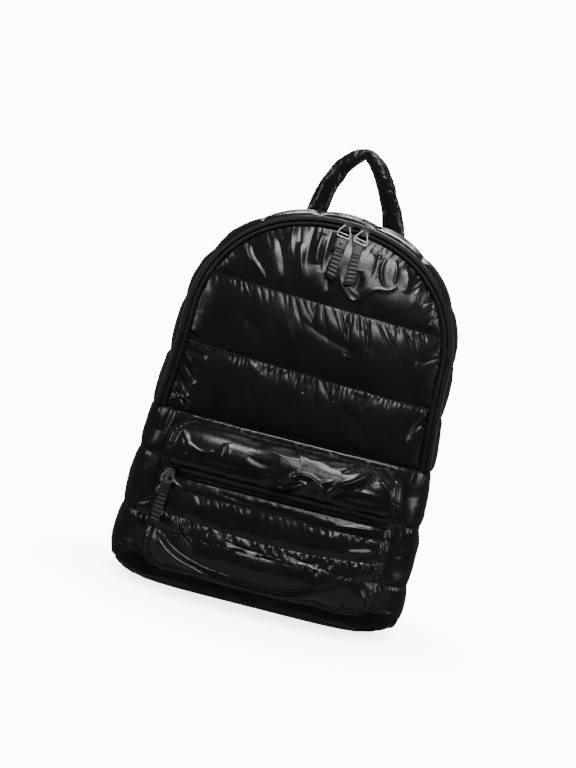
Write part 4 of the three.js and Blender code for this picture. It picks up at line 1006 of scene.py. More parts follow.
lower_piece = quilted_pad(
    "lower_quilting",
    "lower_body",
    rectangle(lower_length, lower_rows),
    lower_seams,
    lower_place,
    (1.03, 1.03, 1.06),
    gathers=lower_gathers,
    folds=lower_folds,
    pitch=0.0034,
    seed=11,
    most=0.009,
)
stitched("lower_stitches", seam_rows(lower_place, lower_seams))

# the cloth is turned in along the waist seam
ALLOWANCE_DEPTH, ALLOWANCE_THICKNESS, ALLOWANCE_INSET = 0.013, 0.0004, 0.0005
waist_shares = np.linspace(0, 1, 240)
waist_height = np.full(len(waist_shares), WAIST_HEIGHT)
allowance_edges = []
for inset, up in ((ALLOWANCE_INSET, 1), (ALLOWANCE_DEPTH, 1), (ALLOWANCE_DEPTH, -1), (ALLOWANCE_INSET, -1)):
    plan = lower_plan(waist_height, inset + 0 * waist_height)
    allowance_edges.append(plan_point(plan, waist_shares, waist_height + up * ALLOWANCE_THICKNESS / 2))
allowance_rings = np.array(allowance_edges).transpose(1, 0, 2) + BAG_SHIFT
made_piece("waist_seam_allowance", *swept(allowance_rings), nylon, "shell_nylon")

# Back panel: a flat padded panel in six channels, which the straps are sewn to.
BACK_WALL = 0.005
BACK_PUFF = 0.005
BACK_FACE = BAG_DEPTH / 2 + GAP
BACK_ROLL, BACK_REACH = 0.012, 0.17
crown_edge = band_place(np.column_stack([np.linspace(0, zip_run[-1], 160), np.full(160, BAG_DEPTH)]), 0)
side_edge = lower_place(np.column_stack([np.full(60, lower_length), np.linspace(0, lower_rows, 60)]), 0)
back_outline = np.vstack([side_edge, crown_edge, across_bag(side_edge)[::-1]])[:, [0, 2]]


def edge_distance(flat, outline):
    return nearest_of(flat, spaced(np.vstack([outline, outline[:1]]), 0.002))


def back_place(flat, height):
    roll = np.sqrt(1 - (1 - np.clip(edge_distance(flat, back_outline) / BACK_ROLL, 0, 1)) ** 2)
    return np.column_stack([flat[:, 0], BACK_FACE + BACK_WALL * roll + height + BAG_SHIFT[1], flat[:, 1]])


back_heights = [LOWER_BOTTOM + share * (LOWER_TOP - LOWER_BOTTOM) for share in LOWER_SEAM_SHARES]
back_heights += [WAIST_HEIGHT + share * (CROWN_HEIGHT - WAIST_HEIGHT) for share in [0, *FRONT_SEAM_SHARES]]
back_seams = []
for height in back_heights:
    line = np.array([(x, height) for x in np.linspace(-BACK_REACH, BACK_REACH, 171)])
    back_seams.append(line[is_inside(line, back_outline)])
quilted_pad(
    "back_quilting",
    "back_panel",
    back_outline,
    back_seams,
    back_place,
    (1.04, 1, 1.03),
    folds=scattered(66, 50, (-0.12, 0.03), (0.12, 0.38), 0.03, 0.5, 0.0005, 0.0025),
    seed=13,
    most=0.006,
    thickness=0.0045,
)
stitched("back_stitches", seam_rows(back_place, back_seams))

# Pocket: a puffed flap over the zip and a pouch below it, both sewn to the lower body round their edge. The
# pouch has a plain band under the zip and two stitched rows, and its bottom channel is the fullest.
POCKET_HALF_WIDTH = 0.1195
POCKET_DEPTH = 0.031
POCKET_POWER = 5.5
POCKET_BOTTOM, POCKET_TOP = 0.026, 0.177
POCKET_ZIP_HEIGHT, POCKET_ZIP_MOUTH = 0.124, 0.005
POCKET_EDGE_SHARE = 0.955
LOWER_PUFF = 0.006
FLAP_PROFILE = {
    "up": [0, 0.06, 0.13, 0.3, 0.6, 0.82, 0.94, 1],
    "depth": [0.7, 0.7, 0.78, 0.86, 0.84, 0.68, 0.42, 0],
    "width": [1, 1, 1, 1, 0.995, 0.97, 0.91, 0.85],
}
POUCH_PROFILE = {
    "up": [0, 0.03, 0.1, 0.24, 0.44, 0.65, 0.77, 0.87, 1],
    "depth": [0, 0.4, 0.66, 0.82, 0.84, 0.74, 0.76, 0.71, 0.68],
    "width": [0.86, 0.91, 0.97, 1, 1, 1, 1, 1, 1],
    "sag": [0, 0, 0, 0, 0.04, 0.11, 0.03, 0, 0],
}


def lower_front(x, height):
    """Front of the puffed lower body at a place across and up"""
    run = run_to(height)
    seams = np.array([0, *lower_seam_runs, lower_rows])
    channel = np.clip(np.searchsorted(seams, run, side="right"), 1, len(seams) - 1)
    t = np.clip((run - seams[channel - 1]) / (seams[channel] - seams[channel - 1]), 0, 1)
    level, inset = lower_section(run, LOWER_PUFF * np.sqrt(4 * t * (1 - t)))
    width, front, back, power = lower_plan(height, inset)
    return -front * (1 - np.clip(np.abs(x) / width, 0, 1) ** power) ** (1 / power)


def pocket_shape(share):
    return np.clip(1 - np.abs(share) ** POCKET_POWER, 0, 1) ** (1 / POCKET_POWER)


shares = np.sin(np.linspace(-math.pi / 2, math.pi / 2, 801))
pocket_section = np.column_stack([POCKET_HALF_WIDTH * shares, POCKET_DEPTH * 0.8 * pocket_shape(shares)])
section_run = runs_of(pocket_section)
section_run -= section_run[-1] / 2
pocket_reach = section_run[-1]


def pocket_profile(rows, bottom, top):
    """The run up a pocket piece at its middle, at each of its rows"""
    heights = bottom + (top - bottom) * np.array(rows["up"])
    depths = POCKET_DEPTH * np.array(rows["depth"])
    return np.concatenate([[0], np.cumsum(np.hypot(np.diff(heights), np.diff(depths)))])


def smooth_row(run, knots, values):
    """Values between rows, rounded off at the rows"""
    reach = 0.004
    parts = [np.interp(run + k * reach / 2, knots, values) for k in (-2, -1, 0, 1, 2)]
    ends = np.minimum(run, knots[-1] - run)
    blend = np.clip(ends / reach, 0, 1)
    return parts[2] * (1 - blend) + blend * sum(parts) / 5


def pocket_base(flat, rows, bottom, top):
    run = pocket_profile(rows, bottom, top)
    share = np.interp(flat[:, 0], section_run, shares)
    fine = {name: smooth_row(flat[:, 1], run, values) for name, values in rows.items()}
    up = fine["up"] - fine.get("sag", 0) * (1 - share**2)
    height = bottom + (top - bottom) * up
    x = POCKET_HALF_WIDTH * fine["width"] * share
    y = lower_front(x, height) - GAP - POCKET_DEPTH * fine["depth"] * pocket_shape(share)
    return np.column_stack([x, y, height])


def on_surface(base, flat, height):
    """Places on a base surface, set off along its normal"""
    step = 0.0004
    here = base(flat)
    across = base(flat + [step, 0]) - base(flat - [step, 0])
    upward = base(flat + [0, step]) - base(flat - [0, step])
    return here + unit(np.cross(across, upward)) * height + BAG_SHIFT


def on_pocket(rows, bottom, top, *points):
    """Places on the cut of a pocket piece, from places across and up the bag in millimetres"""
    run = pocket_profile(rows, bottom, top)
    found = []
    for x, z in millimetres(*points):
        share = np.clip(x / POCKET_HALF_WIDTH, -1, 1)
        aim = up = (z - bottom) / (top - bottom)
        for _ in range(6):
            up = aim + np.interp(up, rows["up"], rows.get("sag", [0] * len(run))) * (1 - share**2)
        found.append((float(np.interp(share, shares, section_run)), float(np.interp(up, rows["up"], run))))
    return np.array(found)


def pocket_piece(name, node, profile, bottom, top, seam_ups, gathers, folds, fullness, **choice):
    """A pad of the pocket, whose gathers are each given by the number of a seam, side or end"""
    run = pocket_profile(profile, bottom, top)
    edge = float(np.interp(POCKET_EDGE_SHARE, shares, section_run))
    seam_us = np.linspace(-pocket_reach, pocket_reach, 180)
    seams = [np.array([(u, float(np.interp(up, profile["up"], run))) for u in seam_us]) for up in seam_ups]
    seams += [np.array([(side * edge, v) for v in np.linspace(0, run[-1], 60)]) for side in (-1, 1)]
    lines = [*seams, *(np.array([(-pocket_reach, v), (pocket_reach, v)]) for v in (0, run[-1]))]

    def place(flat, height):
        return on_surface(lambda places: pocket_base(places, profile, bottom, top), flat, height)

    piece = quilted_pad(
        name,
        node,
        rectangle(2 * pocket_reach, run[-1]) - [pocket_reach, 0],
        seams,
        place,
        (1.03, 1.02, 1.08),
        levels=2,
        gathers=[(lines[which], *rest) for which, *rest in gathers],
        folds=[(on_pocket(profile, bottom, top, *points), *sizes) for points, *sizes in folds],
        limit=lambda flat: np.interp(flat[:, 1] / run[-1], fullness["up"], fullness["most"]),
        thickness=0.0015,
        **choice,
    )
    stitched(f"{node}_stitches", seam_rows(place, seams))
    return piece


POUCH_FULLNESS = {"up": [0, 0.2, 0.6, 0.75, 0.86, 0.9, 1], "most": [0.006, 0.009, 0.009, 0.006, 0.005, 0.002, 0.001]}
FLAP_FULLNESS = {"up": [0, 0.1, 0.2, 0.5, 0.8, 1], "most": [0.003, 0.002, 0.006, 0.008, 0.007, 0.005]}
POUCH_GATHERS = [
    (0, -1, 0.007, [0.004, 0.005, 0.006, 0.008, 0.009, 0.008, 0.006, 0.005], 0.85, 0.1, 81),
    (0, 1, 0.006, [0.003, 0.004, 0.003], 0.5, 0, 82),
    (1, -1, 0.0072, [0.002, 0.002, 0.004, 0.01, 0.011, 0.009, 0.003, 0.002], 0.9, 0.35, 83),
    (1, 1, 0.006, [0.002, 0.003, 0.002], 0.5, 0, 84),
    (2, 1, 0.008, [0.008, 0.01, 0.006], 0.6, 0, 85),
    (3, -1, 0.008, [0.008, 0.01, 0.006], 0.6, 0, 86),
    (4, 1, 0.007, [0.008, 0.005, 0.004, 0.005, 0.009], 0.6, 0, 87),
]
# folds across and up the bag in millimetres, like those of the front panel
POUCH_FOLDS = [
    (
        ((-110, 64), (-95, 50), (-74, 41), (-37, 34), (6, 32), (39, 35), (71, 50), (93, 68), (98, 79), (92, 87)),
        0.0046, 0.0013, 0.012,
    ),
    (
        ((-107, 69), (-92, 55), (-70, 46), (-34, 39), (7, 37), (37, 40), (67, 54), (87, 70), (91, 80)),
        0.0026, 0.0012, 0.003,
    ),
    (((-95, 89), (-91, 77), (-80, 63), (-67, 55)), 0.0032, 0.0014, 0.004),
    (((-88, 88), (-83, 73), (-69, 60)), 0.0024, 0.0016),
    (((84, 34), (92, 28), (100, 35)), 0.0022, 0.0016),
    (((88, 40), (98, 32), (106, 38)), -0.0022, 0.0016),
    (((76, 92), (90, 94), (106, 98)), 0.0024, 0.0016),
    (((54, 62), (62, 71), (70, 76)), -0.002, 0.003),
    (((-40, 72), (-10, 66), (20, 66)), -0.0018, 0.005),
    (((20, 74), (44, 68), (58, 74)), -0.0018, 0.004),
    (((-70, 96), (-40, 92), (-10, 95)), -0.0016, 0.004),
    (((-111, 121), (-104, 116), (-92, 111)), 0.0016, 0.0016),
    (((60, 113), (84, 117), (108, 119)), 0.0014, 0.0016),
    (((-60, 117), (-20, 113), (40, 114)), -0.0012, 0.003),
    (((104, 60), (112, 52), (115, 42)), -0.003, 0.003),
]
FLAP_GATHERS = [
    (0, 1, 0.0048, [0.003, 0.004, 0.003, 0.004], 0.6, 0, 91),
    (0, -1, 0.0026, [0.003, 0.003], 0.5, 0, 92),
    (1, 1, 0.008, [0.006, 0.01, 0.012], 0.6, 0, 93),
    (2, -1, 0.008, [0.006, 0.01, 0.012], 0.6, 0, 94),
    (4, -1, 0.0075, [0.01, 0.006, 0.005, 0.008, 0.012, 0.012, 0.01], 0.6, 0.3, 95),
]
FLAP_FOLDS = [
    (((-17, 148), (-8, 141), (0, 137), (11, 141), (24, 148), (50, 157)), 0.0034, 0.0015, 0.004),
    (((-7, 144), (6, 150), (19, 157), (37, 152), (44, 141)), 0.0032, 0.0014, 0.004),
    (((6, 154), (14, 149), (24, 148)), 0.0022, 0.0018),
    (((44, 142), (52, 153), (71, 160), (87, 171)), 0.0042, 0.0016, 0.006),
    (((50, 142), (71, 151), (83, 163)), -0.003, 0.003),
    (((-114, 170), (-102, 162), (-93, 150)), 0.0026, 0.0018),
    (((-108, 166), (-100, 156), (-98, 146)), -0.0024, 0.002),
    (((-63, 166), (-61, 158), (-63, 150)), 0.0022, 0.0022),
    (((96, 168), (104, 160), (110, 150)), 0.0026, 0.0014, 0.004),
    (((-30, 172), (-8, 166), (14, 168)), 0.0018, 0.0016, 0.005),
    (((4, 174), (24, 168), (44, 172)), 0.0018, 0.0014, 0.005),
    (((-98, 158), (-84, 152), (-72, 156)), 0.0016, 0.0014, 0.004),
    (((60, 150), (78, 154), (98, 152)), 0.0018, 0.0014, 0.004),
    (((-40, 160), (-20, 154), (-6, 160)), -0.002, 0.005),
    (((56, 166), (68, 170), (80, 175)), -0.0022, 0.002),
    (((-84, 146), (-60, 143), (-34, 146)), -0.0018, 0.004),
    (((60, 142), (80, 140), (100, 144)), -0.0018, 0.0035),
]
pouch = pocket_piece(
    "pouch_quilting",
    "pocket_pouch",
    POUCH_PROFILE,
    POCKET_BOTTOM,
    POCKET_ZIP_HEIGHT - POCKET_ZIP_MOUTH / 2,
    [0.65, 0.87],
    POUCH_GATHERS,
    POUCH_FOLDS,
    POUCH_FULLNESS,
    pitch=0.0031,
    seed=17,
)
pocket_piece(
    "flap_quilting",
    "pocket_flap",
    FLAP_PROFILE,
    POCKET_ZIP_HEIGHT + POCKET_ZIP_MOUTH / 2,
    POCKET_TOP,
    [0.1],
    FLAP_GATHERS,
    FLAP_FOLDS,
    FLAP_FULLNESS,
    pitch=0.0029,
    seed=19,
)

# Haul loop: a padded tube of the same nylon on the crown, folded to a point on top and sewn in behind the band.
LOOP_HALF_SPAN, LOOP_HEIGHT, LOOP_THICKNESS, LOOP_WIDTH = 0.0415, 0.07, 0.015, 0.022
LOOP_OFFSET, LOOP_SETBACK = 0.0025, 0.009
LOOP_ROWS = {
    "across": [-1.04, -1, -0.88, -0.68, -0.4, -0.12, 0.1, 0.3, 0.54, 0.8, 1, 1.1],
    "up": [-0.22, 0, 0.36, 0.68, 0.89, 1, 0.93, 0.8, 0.58, 0.29, 0, -0.22],
    "width": [1, 1, 0.96, 0.9, 0.75, 0.52, 0.66, 0.82, 0.95, 1.02, 1.1, 1.1],
}
LOOP_FOOT = CROWN_HEIGHT + ZIP_HALF_WIDTH + BAND_BULGE
LOOP_STEPS, LOOP_SIDES = 86, 26
LOOP_HELD_RINGS, LOOP_STITCH_REACH = 4, 0.36
GIRTH_SHARE = 1.7


def tube(path, across, through, widths, thicknesses, sides, power=2.6):
    """Rings of a flattened tube round a path"""
    angle = np.linspace(0, 2 * np.pi, sides, endpoint=False)
    wide = np.sign(np.cos(angle)) * np.abs(np.cos(angle)) ** (2 / power)
    thick = np.sign(np.sin(angle)) * np.abs(np.sin(angle)) ** (2 / power)
    return (
        path[:, None]
        + across[:, None] * (widths[:, None] / 2 * wide)[:, :, None]
        + through[:, None] * (thicknesses[:, None] / 2 * thick)[:, :, None]
    )


loop_knots = np.column_stack([
    CROWN_SHIFT + LOOP_OFFSET + LOOP_HALF_SPAN * np.array(LOOP_ROWS["across"]),
    np.full(len(LOOP_ROWS["up"]), BAG_DEPTH / 2 - LOOP_SETBACK),
    LOOP_FOOT + LOOP_HEIGHT * np.array(LOOP_ROWS["up"]),
]) + BAG_SHIFT
loop_lengths = runs_of(loop_knots)
loop_run = np.linspace(0, loop_lengths[-1], LOOP_STEPS)
loop_path = evened(at_runs(loop_run, loop_lengths, loop_knots), 3)
loop_widths = np.interp(loop_run, loop_lengths, LOOP_ROWS["width"])
loop_through = np.tile([0.0, 1.0, 0.0], (len(loop_path), 1))
loop_across = np.cross(unit(np.gradient(loop_path, axis=0)), loop_through)
loop_thicknesses = LOOP_THICKNESS * np.sqrt(np.minimum(loop_widths, 1))
loop_points, loop_triangles = swept(
    tube(loop_path, loop_across, loop_through, LOOP_WIDTH * loop_widths, loop_thicknesses, LOOP_SIDES)
)
loop_held = np.zeros(len(loop_points), bool)
loop_held[: LOOP_SIDES * LOOP_HELD_RINGS] = loop_held[-LOOP_SIDES * LOOP_HELD_RINGS - 2 :] = True
loop_start = loop_points + np.random.default_rng(5).normal(0, 0.0002, loop_points.shape)
loop_blown = sewn_cloth("loop_cloth", loop_start, loop_triangles, loop_held, (1.05, 1.05, 1.05), pressure=4)
loop_cut = np.zeros((len(loop_blown), 2))
loop_girth = np.arange(LOOP_SIDES) * (LOOP_WIDTH + LOOP_THICKNESS) * GIRTH_SHARE / LOOP_SIDES
loop_cut[:-2, 0] = np.tile(loop_girth, len(loop_path))
loop_cut[:-2, 1] = np.repeat(loop_run, LOOP_SIDES)
loop_values, loop_faces = np.hstack([loop_blown, loop_cut]), loop_triangles
for _ in range(2):
    loop_values, loop_faces, _ = twice_as_fine(loop_values, loop_faces, np.zeros(len(loop_values), bool))
loop_finer, loop_cut = loop_values[:, :3], loop_values[:, 3:]
loop_creases = scattered(8, 40, (0, 0.02), (0.064, loop_run[-1] - 0.02), 0.022, 1.25, 0.0009, 0.0022)
plain_loop = smooth_mesh("plain_loop", loop_finer, loop_faces)
loop_normals = np.array([tuple(vertex.normal) for vertex in plain_loop.vertices])
bpy.data.meshes.remove(plain_loop)
loop_finer = loop_finer + loop_normals * folded(loop_cut, np.zeros(len(loop_finer)), loop_creases)[:, None]
finished_pad(linked("haul_loop_pad", smooth_mesh("haul_loop_pad", loop_finer, loop_faces)), "haul_loop")
loop_rows = []
free = slice(6, -6)
for side in (1, -1):
    off = side * LOOP_STITCH_REACH * LOOP_WIDTH * loop_widths[free]
    edge_line = loop_path[free] + loop_across[free] * off[:, None]
    surface = []
    for point in edge_line:
        near = loop_finer[np.hypot(*(loop_finer[:, [0, 2]] - point[[0, 2]]).T) < 0.0018]
        surface.append(near[:, 1].min() if len(near) else point[1] - LOOP_THICKNESS / 2)
    edge_line[:, 1] = np.array(surface) - 0.0001
    loop_rows.append((edge_line, np.tile([0.0, -1.0, 0.0], (len(edge_line), 1))))
stitched("haul_loop_stitches", loop_rows)

# Sliders, links and pulls: gunmetal zip sliders with a wire loop, each carrying a ribbed rubber strip that
# lies on the cloth. The left strip has a square head with a rivet.
PULL_WIDTH, PULL_LENGTH, PULL_HEAD, PULL_RIBS = 0.0096, 0.046, 0.0142, 7
NECK_LENGTH, NECK_WIDTH, NECK_THICKNESS, PLATE_WIDTH = 0.003, 0.0088, 0.0024, 0.012
LINK_WIDTH, LINK_WIRE, LINK_STEPS, WIRE_SIDES, WIRE_POWER = 0.0128, 0.0013, 96, 12, 4.5
LINK_FRAME = [(-0.2, 0), (0.2, 0), (0.46, 0.5), (0.5, 0.6), (0.5, 1), (-0.5, 1), (-0.5, 0.6), (-0.46, 0.5)]
PULL_THICKNESS, PULL_HEAD_THICKNESS, RIB_HEIGHT = 0.0019, 0.0036, 0.0013
PULL_STEPS, PULL_SIDES, PULL_POWER, PULL_SINK = 90, 20, 5, 0.55

gunmetal = finish_of(
    "gunmetal",
    [(0.3, 0.3, 0.305), (0.46, 0.46, 0.465)],
    (0.3, 0.42),
    [("swells", (500, 500, 500), 0.00004), ("creases", (300, 300, 60), 0.00002)],
    metallic=1,
)
rubber = finish_of(
    "pull_rubber",
    [(0.022, 0.022, 0.023), (0.034, 0.034, 0.035)],
    (0.42, 0.58),
    [("swells", (900, 900, 900), 0.00003), ("creases", (160, 160, 160), 0.00004)],
)


def points_of(piece):
    values = np.empty(len(piece.data.vertices) * 3, np.float32)
    piece.data.vertices.foreach_get("co", values)
    return values.reshape(-1, 3).astype(float)


def lying_pull(name, node, start, lean, cloth, slant, head_width=PULL_WIDTH):
    """A ribbed strip that hangs from its link and lies on the cloth"""
    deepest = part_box(node)[1].y
    down = np.linspace(0, PULL_LENGTH, 60)
    x, z = start[0] + math.sin(lean) * down, start[1] - math.cos(lean) * down
    near = cloth[(np.abs(cloth[:, 0] - x.mean()) < 0.03) & (np.abs(cloth[:, 2] - z.mean()) < 0.04)]
    face = []
    for px, pz in zip(x, z):
        under = near[(np.abs(near[:, 0] - px) < PULL_WIDTH / 2) & (np.abs(near[:, 2] - pz) < 0.002)]
        face.append(under[:, 1].min() if len(under) else deepest)
    face = np.array([min(face[max(0, k - 4) : k + 5]) for k in range(len(face))])
    y = evened(np.minimum(face - PULL_HEAD_THICKNESS * PULL_SINK, start[2]), 30)
    path = np.column_stack([x, y, z])
    steps = np.linspace(0, PULL_LENGTH, PULL_STEPS)
    path = at_runs(steps, runs_of(path), path)
    along = unit(np.gradient(path, axis=0))
    across = unit(np.cross(along, [0, -1, 0]))
    through = np.cross(across, along)
    in_strip = np.clip((steps - PULL_HEAD) / (PULL_LENGTH - PULL_HEAD - 0.002), 0, 1)
    ridge = np.clip(np.cos(2 * np.pi * (PULL_RIBS * in_strip - 0.5)), -0.5, 1)
    ribs = RIB_HEIGHT * (ridge + 0.5) / 1.5
    at_head = steps < PULL_HEAD
    ends = np.sqrt(np.clip(1 - ((steps - PULL_LENGTH / 2) / (PULL_LENGTH / 2)) ** 24, 0.02, 1))
    at_plate = at_head & (steps > NECK_LENGTH)
    neck_or_strip = np.where(at_head, NECK_THICKNESS, PULL_THICKNESS + ribs)
    thick = np.where(at_plate, PULL_HEAD_THICKNESS, neck_or_strip) * ends
    wide = np.where(at_plate, head_width, np.where(at_head, NECK_WIDTH, PULL_WIDTH * 0.94 + 0.25 * ribs)) * ends
    rings = tube(path, across, through, wide, thick, PULL_SIDES, PULL_POWER)
    sideways = (rings - path[:, None]) @ np.array([1, 0, 0])
    rings += (slant * (steps[:, None] / PULL_LENGTH) ** 3 * sideways)[:, :, None] * along[:, None]
    made_piece(name, *swept(rings), rubber, "pull_rubber", node)
    return path, across, through


def hanging_link(name, node, bottom):
    """A frame of wire from a slider's bridge down to a pull, with a second bar above its lower one"""
    low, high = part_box(node)
    top = np.array([(low.x + high.x) / 2, high.y - LINK_WIRE / 2, high.z - LINK_WIRE / 2])
    down = np.array(bottom) - top
    length = np.linalg.norm(down)
    down /= length
    across = np.cross(down, [0, 1, 0])
    across /= np.linalg.norm(across)
    through = np.cross(across, down)
    corners = np.array(LINK_FRAME + LINK_FRAME[:1])
    corners = top + np.outer(corners[:, 0] * LINK_WIDTH, across) + np.outer(corners[:, 1] * length, down)
    run = runs_of(corners)
    line = at_runs(np.linspace(0, run[-1], LINK_STEPS + 1)[:-1], run, corners)
    for _ in range(3):
        line = (np.roll(line, 1, 0) + 2 * line + np.roll(line, -1, 0)) / 4
    along = unit(np.roll(line, -1, 0) - np.roll(line, 1, 0))
    size, through = np.full(LINK_STEPS, LINK_WIRE), np.tile(through, (LINK_STEPS, 1))
    wire = tube(line, np.cross(along, through), through, size, size, WIRE_SIDES, WIRE_POWER)
    frame_points, frame_triangles = swept(wire, closed=True)
    bar = top + 0.7 * length * down + np.outer(np.linspace(-0.5, 0.5, 9) * LINK_WIDTH, across)
    thinner = size[: len(bar)] * 0.85
    down = np.tile(down, (len(bar), 1))
    bar_wire = tube(bar, down, through[: len(bar)], thinner, thinner, WIRE_SIDES, WIRE_POWER)
    bar_points, bar_triangles = swept(bar_wire)
    bar_triangles = [tuple(corner + len(frame_points) for corner in triangle) for triangle in bar_triangles]
    points, triangles = np.vstack([frame_points, bar_points]), frame_triangles + bar_triangles
    made_piece(name, points, triangles, gunmetal, "zip_metal", node)


front_cloth = points_of(front_piece)
left_high, right_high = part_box("left_pull")[1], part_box("right_pull")[1]
left_start = (-0.0005, left_high.z - 0.0075, left_high.y - 0.003)
right_start = (0.017, right_high.z - 0.0085, right_high.y - 0.003)
left_path, left_across, left_through = lying_pull(
    "left_pull_strip", "left_pull", left_start, -0.06, front_cloth, 0.3, PLATE_WIDTH
)
right_path, *_ = lying_pull("right_pull_strip", "right_pull", right_start, -0.02, front_cloth, -0.3)
hanging_link("left_link_wire", "left_link", left_path[0])
hanging_link("right_link_wire", "right_link", right_path[0])
RIVET_STEP = 17
RIVET = [(0.0012, 0.0022), (0.0022, 0.0021), (0.0025, 0.0015), (0.0026, 0.0006)]
turn = np.linspace(0, 2 * np.pi, 20, endpoint=False)[:, None]
rivet_turn = np.cos(turn) * left_across[RIVET_STEP] + np.sin(turn) * np.array([0, 0, 1.0])
rivet_rings = [
    left_path[RIVET_STEP] + left_through[RIVET_STEP] * height + radius * rivet_turn for height, radius in RIVET
]
made_piece("left_pull_rivet", *swept(np.array(rivet_rings)), gunmetal, "zip_metal")
pocket_low, pocket_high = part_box("pocket_pull")
pocket_start = ((pocket_low.x + pocket_high.x) / 2 + 0.0015, pocket_high.z - 0.001, pocket_high.y - 0.006)
pocket_cloth = np.vstack([points_of(pouch), points_of(lower_piece)])
lying_pull("pocket_pull_strip", "pocket_pull", pocket_start, -0.06, pocket_cloth, 0.2)
for node in ("left_slider", "right_slider", "pocket_slider", "pocket_link"):
    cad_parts[node].data.materials.clear()
    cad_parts[node].data.materials.append(gunmetal)


def softened(name, node, rounding, material, slot):
    """A CAD piece with its edges rounded"""
    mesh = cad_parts[node].data.copy()
    work = bmesh.new()
    work.from_mesh(mesh)
    bmesh.ops.remove_doubles(work, verts=work.verts, dist=1e-6)
    bmesh.ops.dissolve_limit(work, angle_limit=math.radians(2), verts=work.verts, edges=work.edges)
    if rounding:
        sharp = [edge for edge in work.edges if edge.is_manifold and edge.calc_face_angle() > math.radians(35)]
        bmesh.ops.bevel(
            work, geom=sharp, offset=rounding, segments=3, profile=0.5, affect="EDGES", clamp_overlap=True
        )
    bmesh.ops.triangulate(work, faces=work.faces)
    work.to_mesh(mesh)
    work.free()
    mesh.name = name
    mesh.materials.clear()
    mesh.materials.append(material)
    mesh.polygons.foreach_set("use_smooth", [True] * len(mesh.polygons))
    fitted(linked(name, mesh), slot, node)


# the pocket's zip is a strip of the same tape with its coil along the middle
softened("pocket_zip_tape", "pocket_zip", 0.0003, tape, "zip_tape")
POCKET_ZIP_REACH, POCKET_COIL = 0.112, (COIL_TURN, 0.0032, 0.0014)
pocket_zip_x = np.linspace(-POCKET_ZIP_REACH, POCKET_ZIP_REACH, 160)
pocket_zip_z = np.full(len(pocket_zip_x), POCKET_ZIP_HEIGHT)
pocket_zip_out = POCKET_DEPTH * pocket_shape(pocket_zip_x / POCKET_HALF_WIDTH)
pocket_zip_y = lower_front(pocket_zip_x, pocket_zip_z) - pocket_zip_out
pocket_zip_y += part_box("pocket_zip")[0].y - pocket_zip_y.min() - 0.0004
pocket_zip_row = np.column_stack([pocket_zip_x + BAG_SHIFT[0], pocket_zip_y, pocket_zip_z])
pocket_zip_rows = [(pocket_zip_row, np.tile([0.0, -1.0, 0.0], (len(pocket_zip_row), 1)))]
repeated("pocket_zip_coil", pocket_zip_rows, COIL_PITCH, POCKET_COIL, tape, "zip_tape")

# Base: a flat panel of the same cloth, with a piped edge between it and the lower body.
base_cloth = finish_of(
    "base_cloth",
    [(0.009, 0.009, 0.009), (0.015, 0.015, 0.0155)],
    (0.4, 0.52),
    [("weave", (700, 700, 700), 0.00005), ("swells", (40, 40, 40), 0.0005)],
)
softened("base_panel_cloth", "base_panel", 0.0012, base_cloth, "shell_nylon")
softened("base_piping_cloth", "base_piping", 0, base_cloth, "shell_nylon")

# Shoulder straps: padded nylon from the top of the back panel down to a tab and ladder buckle, with webbing
# from the buckle to a cloth wing sewn in at the base. Each strap has a flat stitched border.
STRAP_WIDTH, STRAP_THICKNESS, STRAP_BOW = 0.062, 0.012, 0.024
STRAP_TOP = (0.04, 0.378)
STRAP_END = (0.096, 0.168)
STRAP_SEAT = BACK_FACE + BACK_WALL + BACK_PUFF + GAP + STRAP_THICKNESS / 2
STRAP_BORDER, STRAP_ROLL = 0.0055, 0.006
STRAP_ROWS = {
    "along": [0, 0.04, 0.14, 0.28, 0.42, 0.56, 0.7, 0.84, 0.95, 1],
    "width": [0.86, 0.95, 1, 1, 0.98, 0.95, 0.92, 0.86, 0.68, 0.52],
}
WEBBING_WIDTH, WEBBING_THICKNESS = 0.025, 0.0016
TAB_LENGTH, BUCKLE_BAR, BUCKLE_HEIGHT, BUCKLE_HALF = 0.004, 0.0034, 0.022, 0.002
ANCHOR_SPACING, ANCHOR_HEIGHT = 0.112, 0.038

webbing = finish_of(
    "strap_webbing",
    [(0.012, 0.012, 0.0125), (0.02, 0.02, 0.0205)],
    (0.5, 0.65),
    [("weave", (600, 0, 600), 0.00025), ("weave", (-600, 0, 600), 0.00015)],
)
plastic = finish_of(
    "buckle_plastic",
    [(0.012, 0.012, 0.0125), (0.018, 0.018, 0.0185)],
    (0.32, 0.45),
    [("swells", (700, 700, 700), 0.00003)],
)


def strap_path(along):
    x = STRAP_TOP[0] + (STRAP_END[0] - STRAP_TOP[0]) * along**1.25
    y = STRAP_SEAT + STRAP_BOW * np.sin(np.pi * np.clip(along, 0, 1)) ** 1.2
    return np.column_stack([x, y, STRAP_TOP[1] + (STRAP_END[1] - STRAP_TOP[1]) * along])


strap_steps = np.linspace(0, 1, 101)
strap_run = runs_of(strap_path(strap_steps))


def strap_half(run):
    along = np.interp(run, strap_run, strap_steps)
    return STRAP_WIDTH / 2 * np.interp(along, STRAP_ROWS["along"], STRAP_ROWS["width"])


strap_sides = np.linspace(0, strap_run[-1], 60)
strap_outline = np.vstack([
    np.column_stack([strap_half(strap_sides), strap_sides]),
    np.column_stack([-strap_half(strap_sides), strap_sides])[::-1],
])
strap_seams = [
    np.column_stack([side * (strap_half(strap_sides) - STRAP_BORDER), strap_sides])[1:-1] for side in (-1, 1)
]


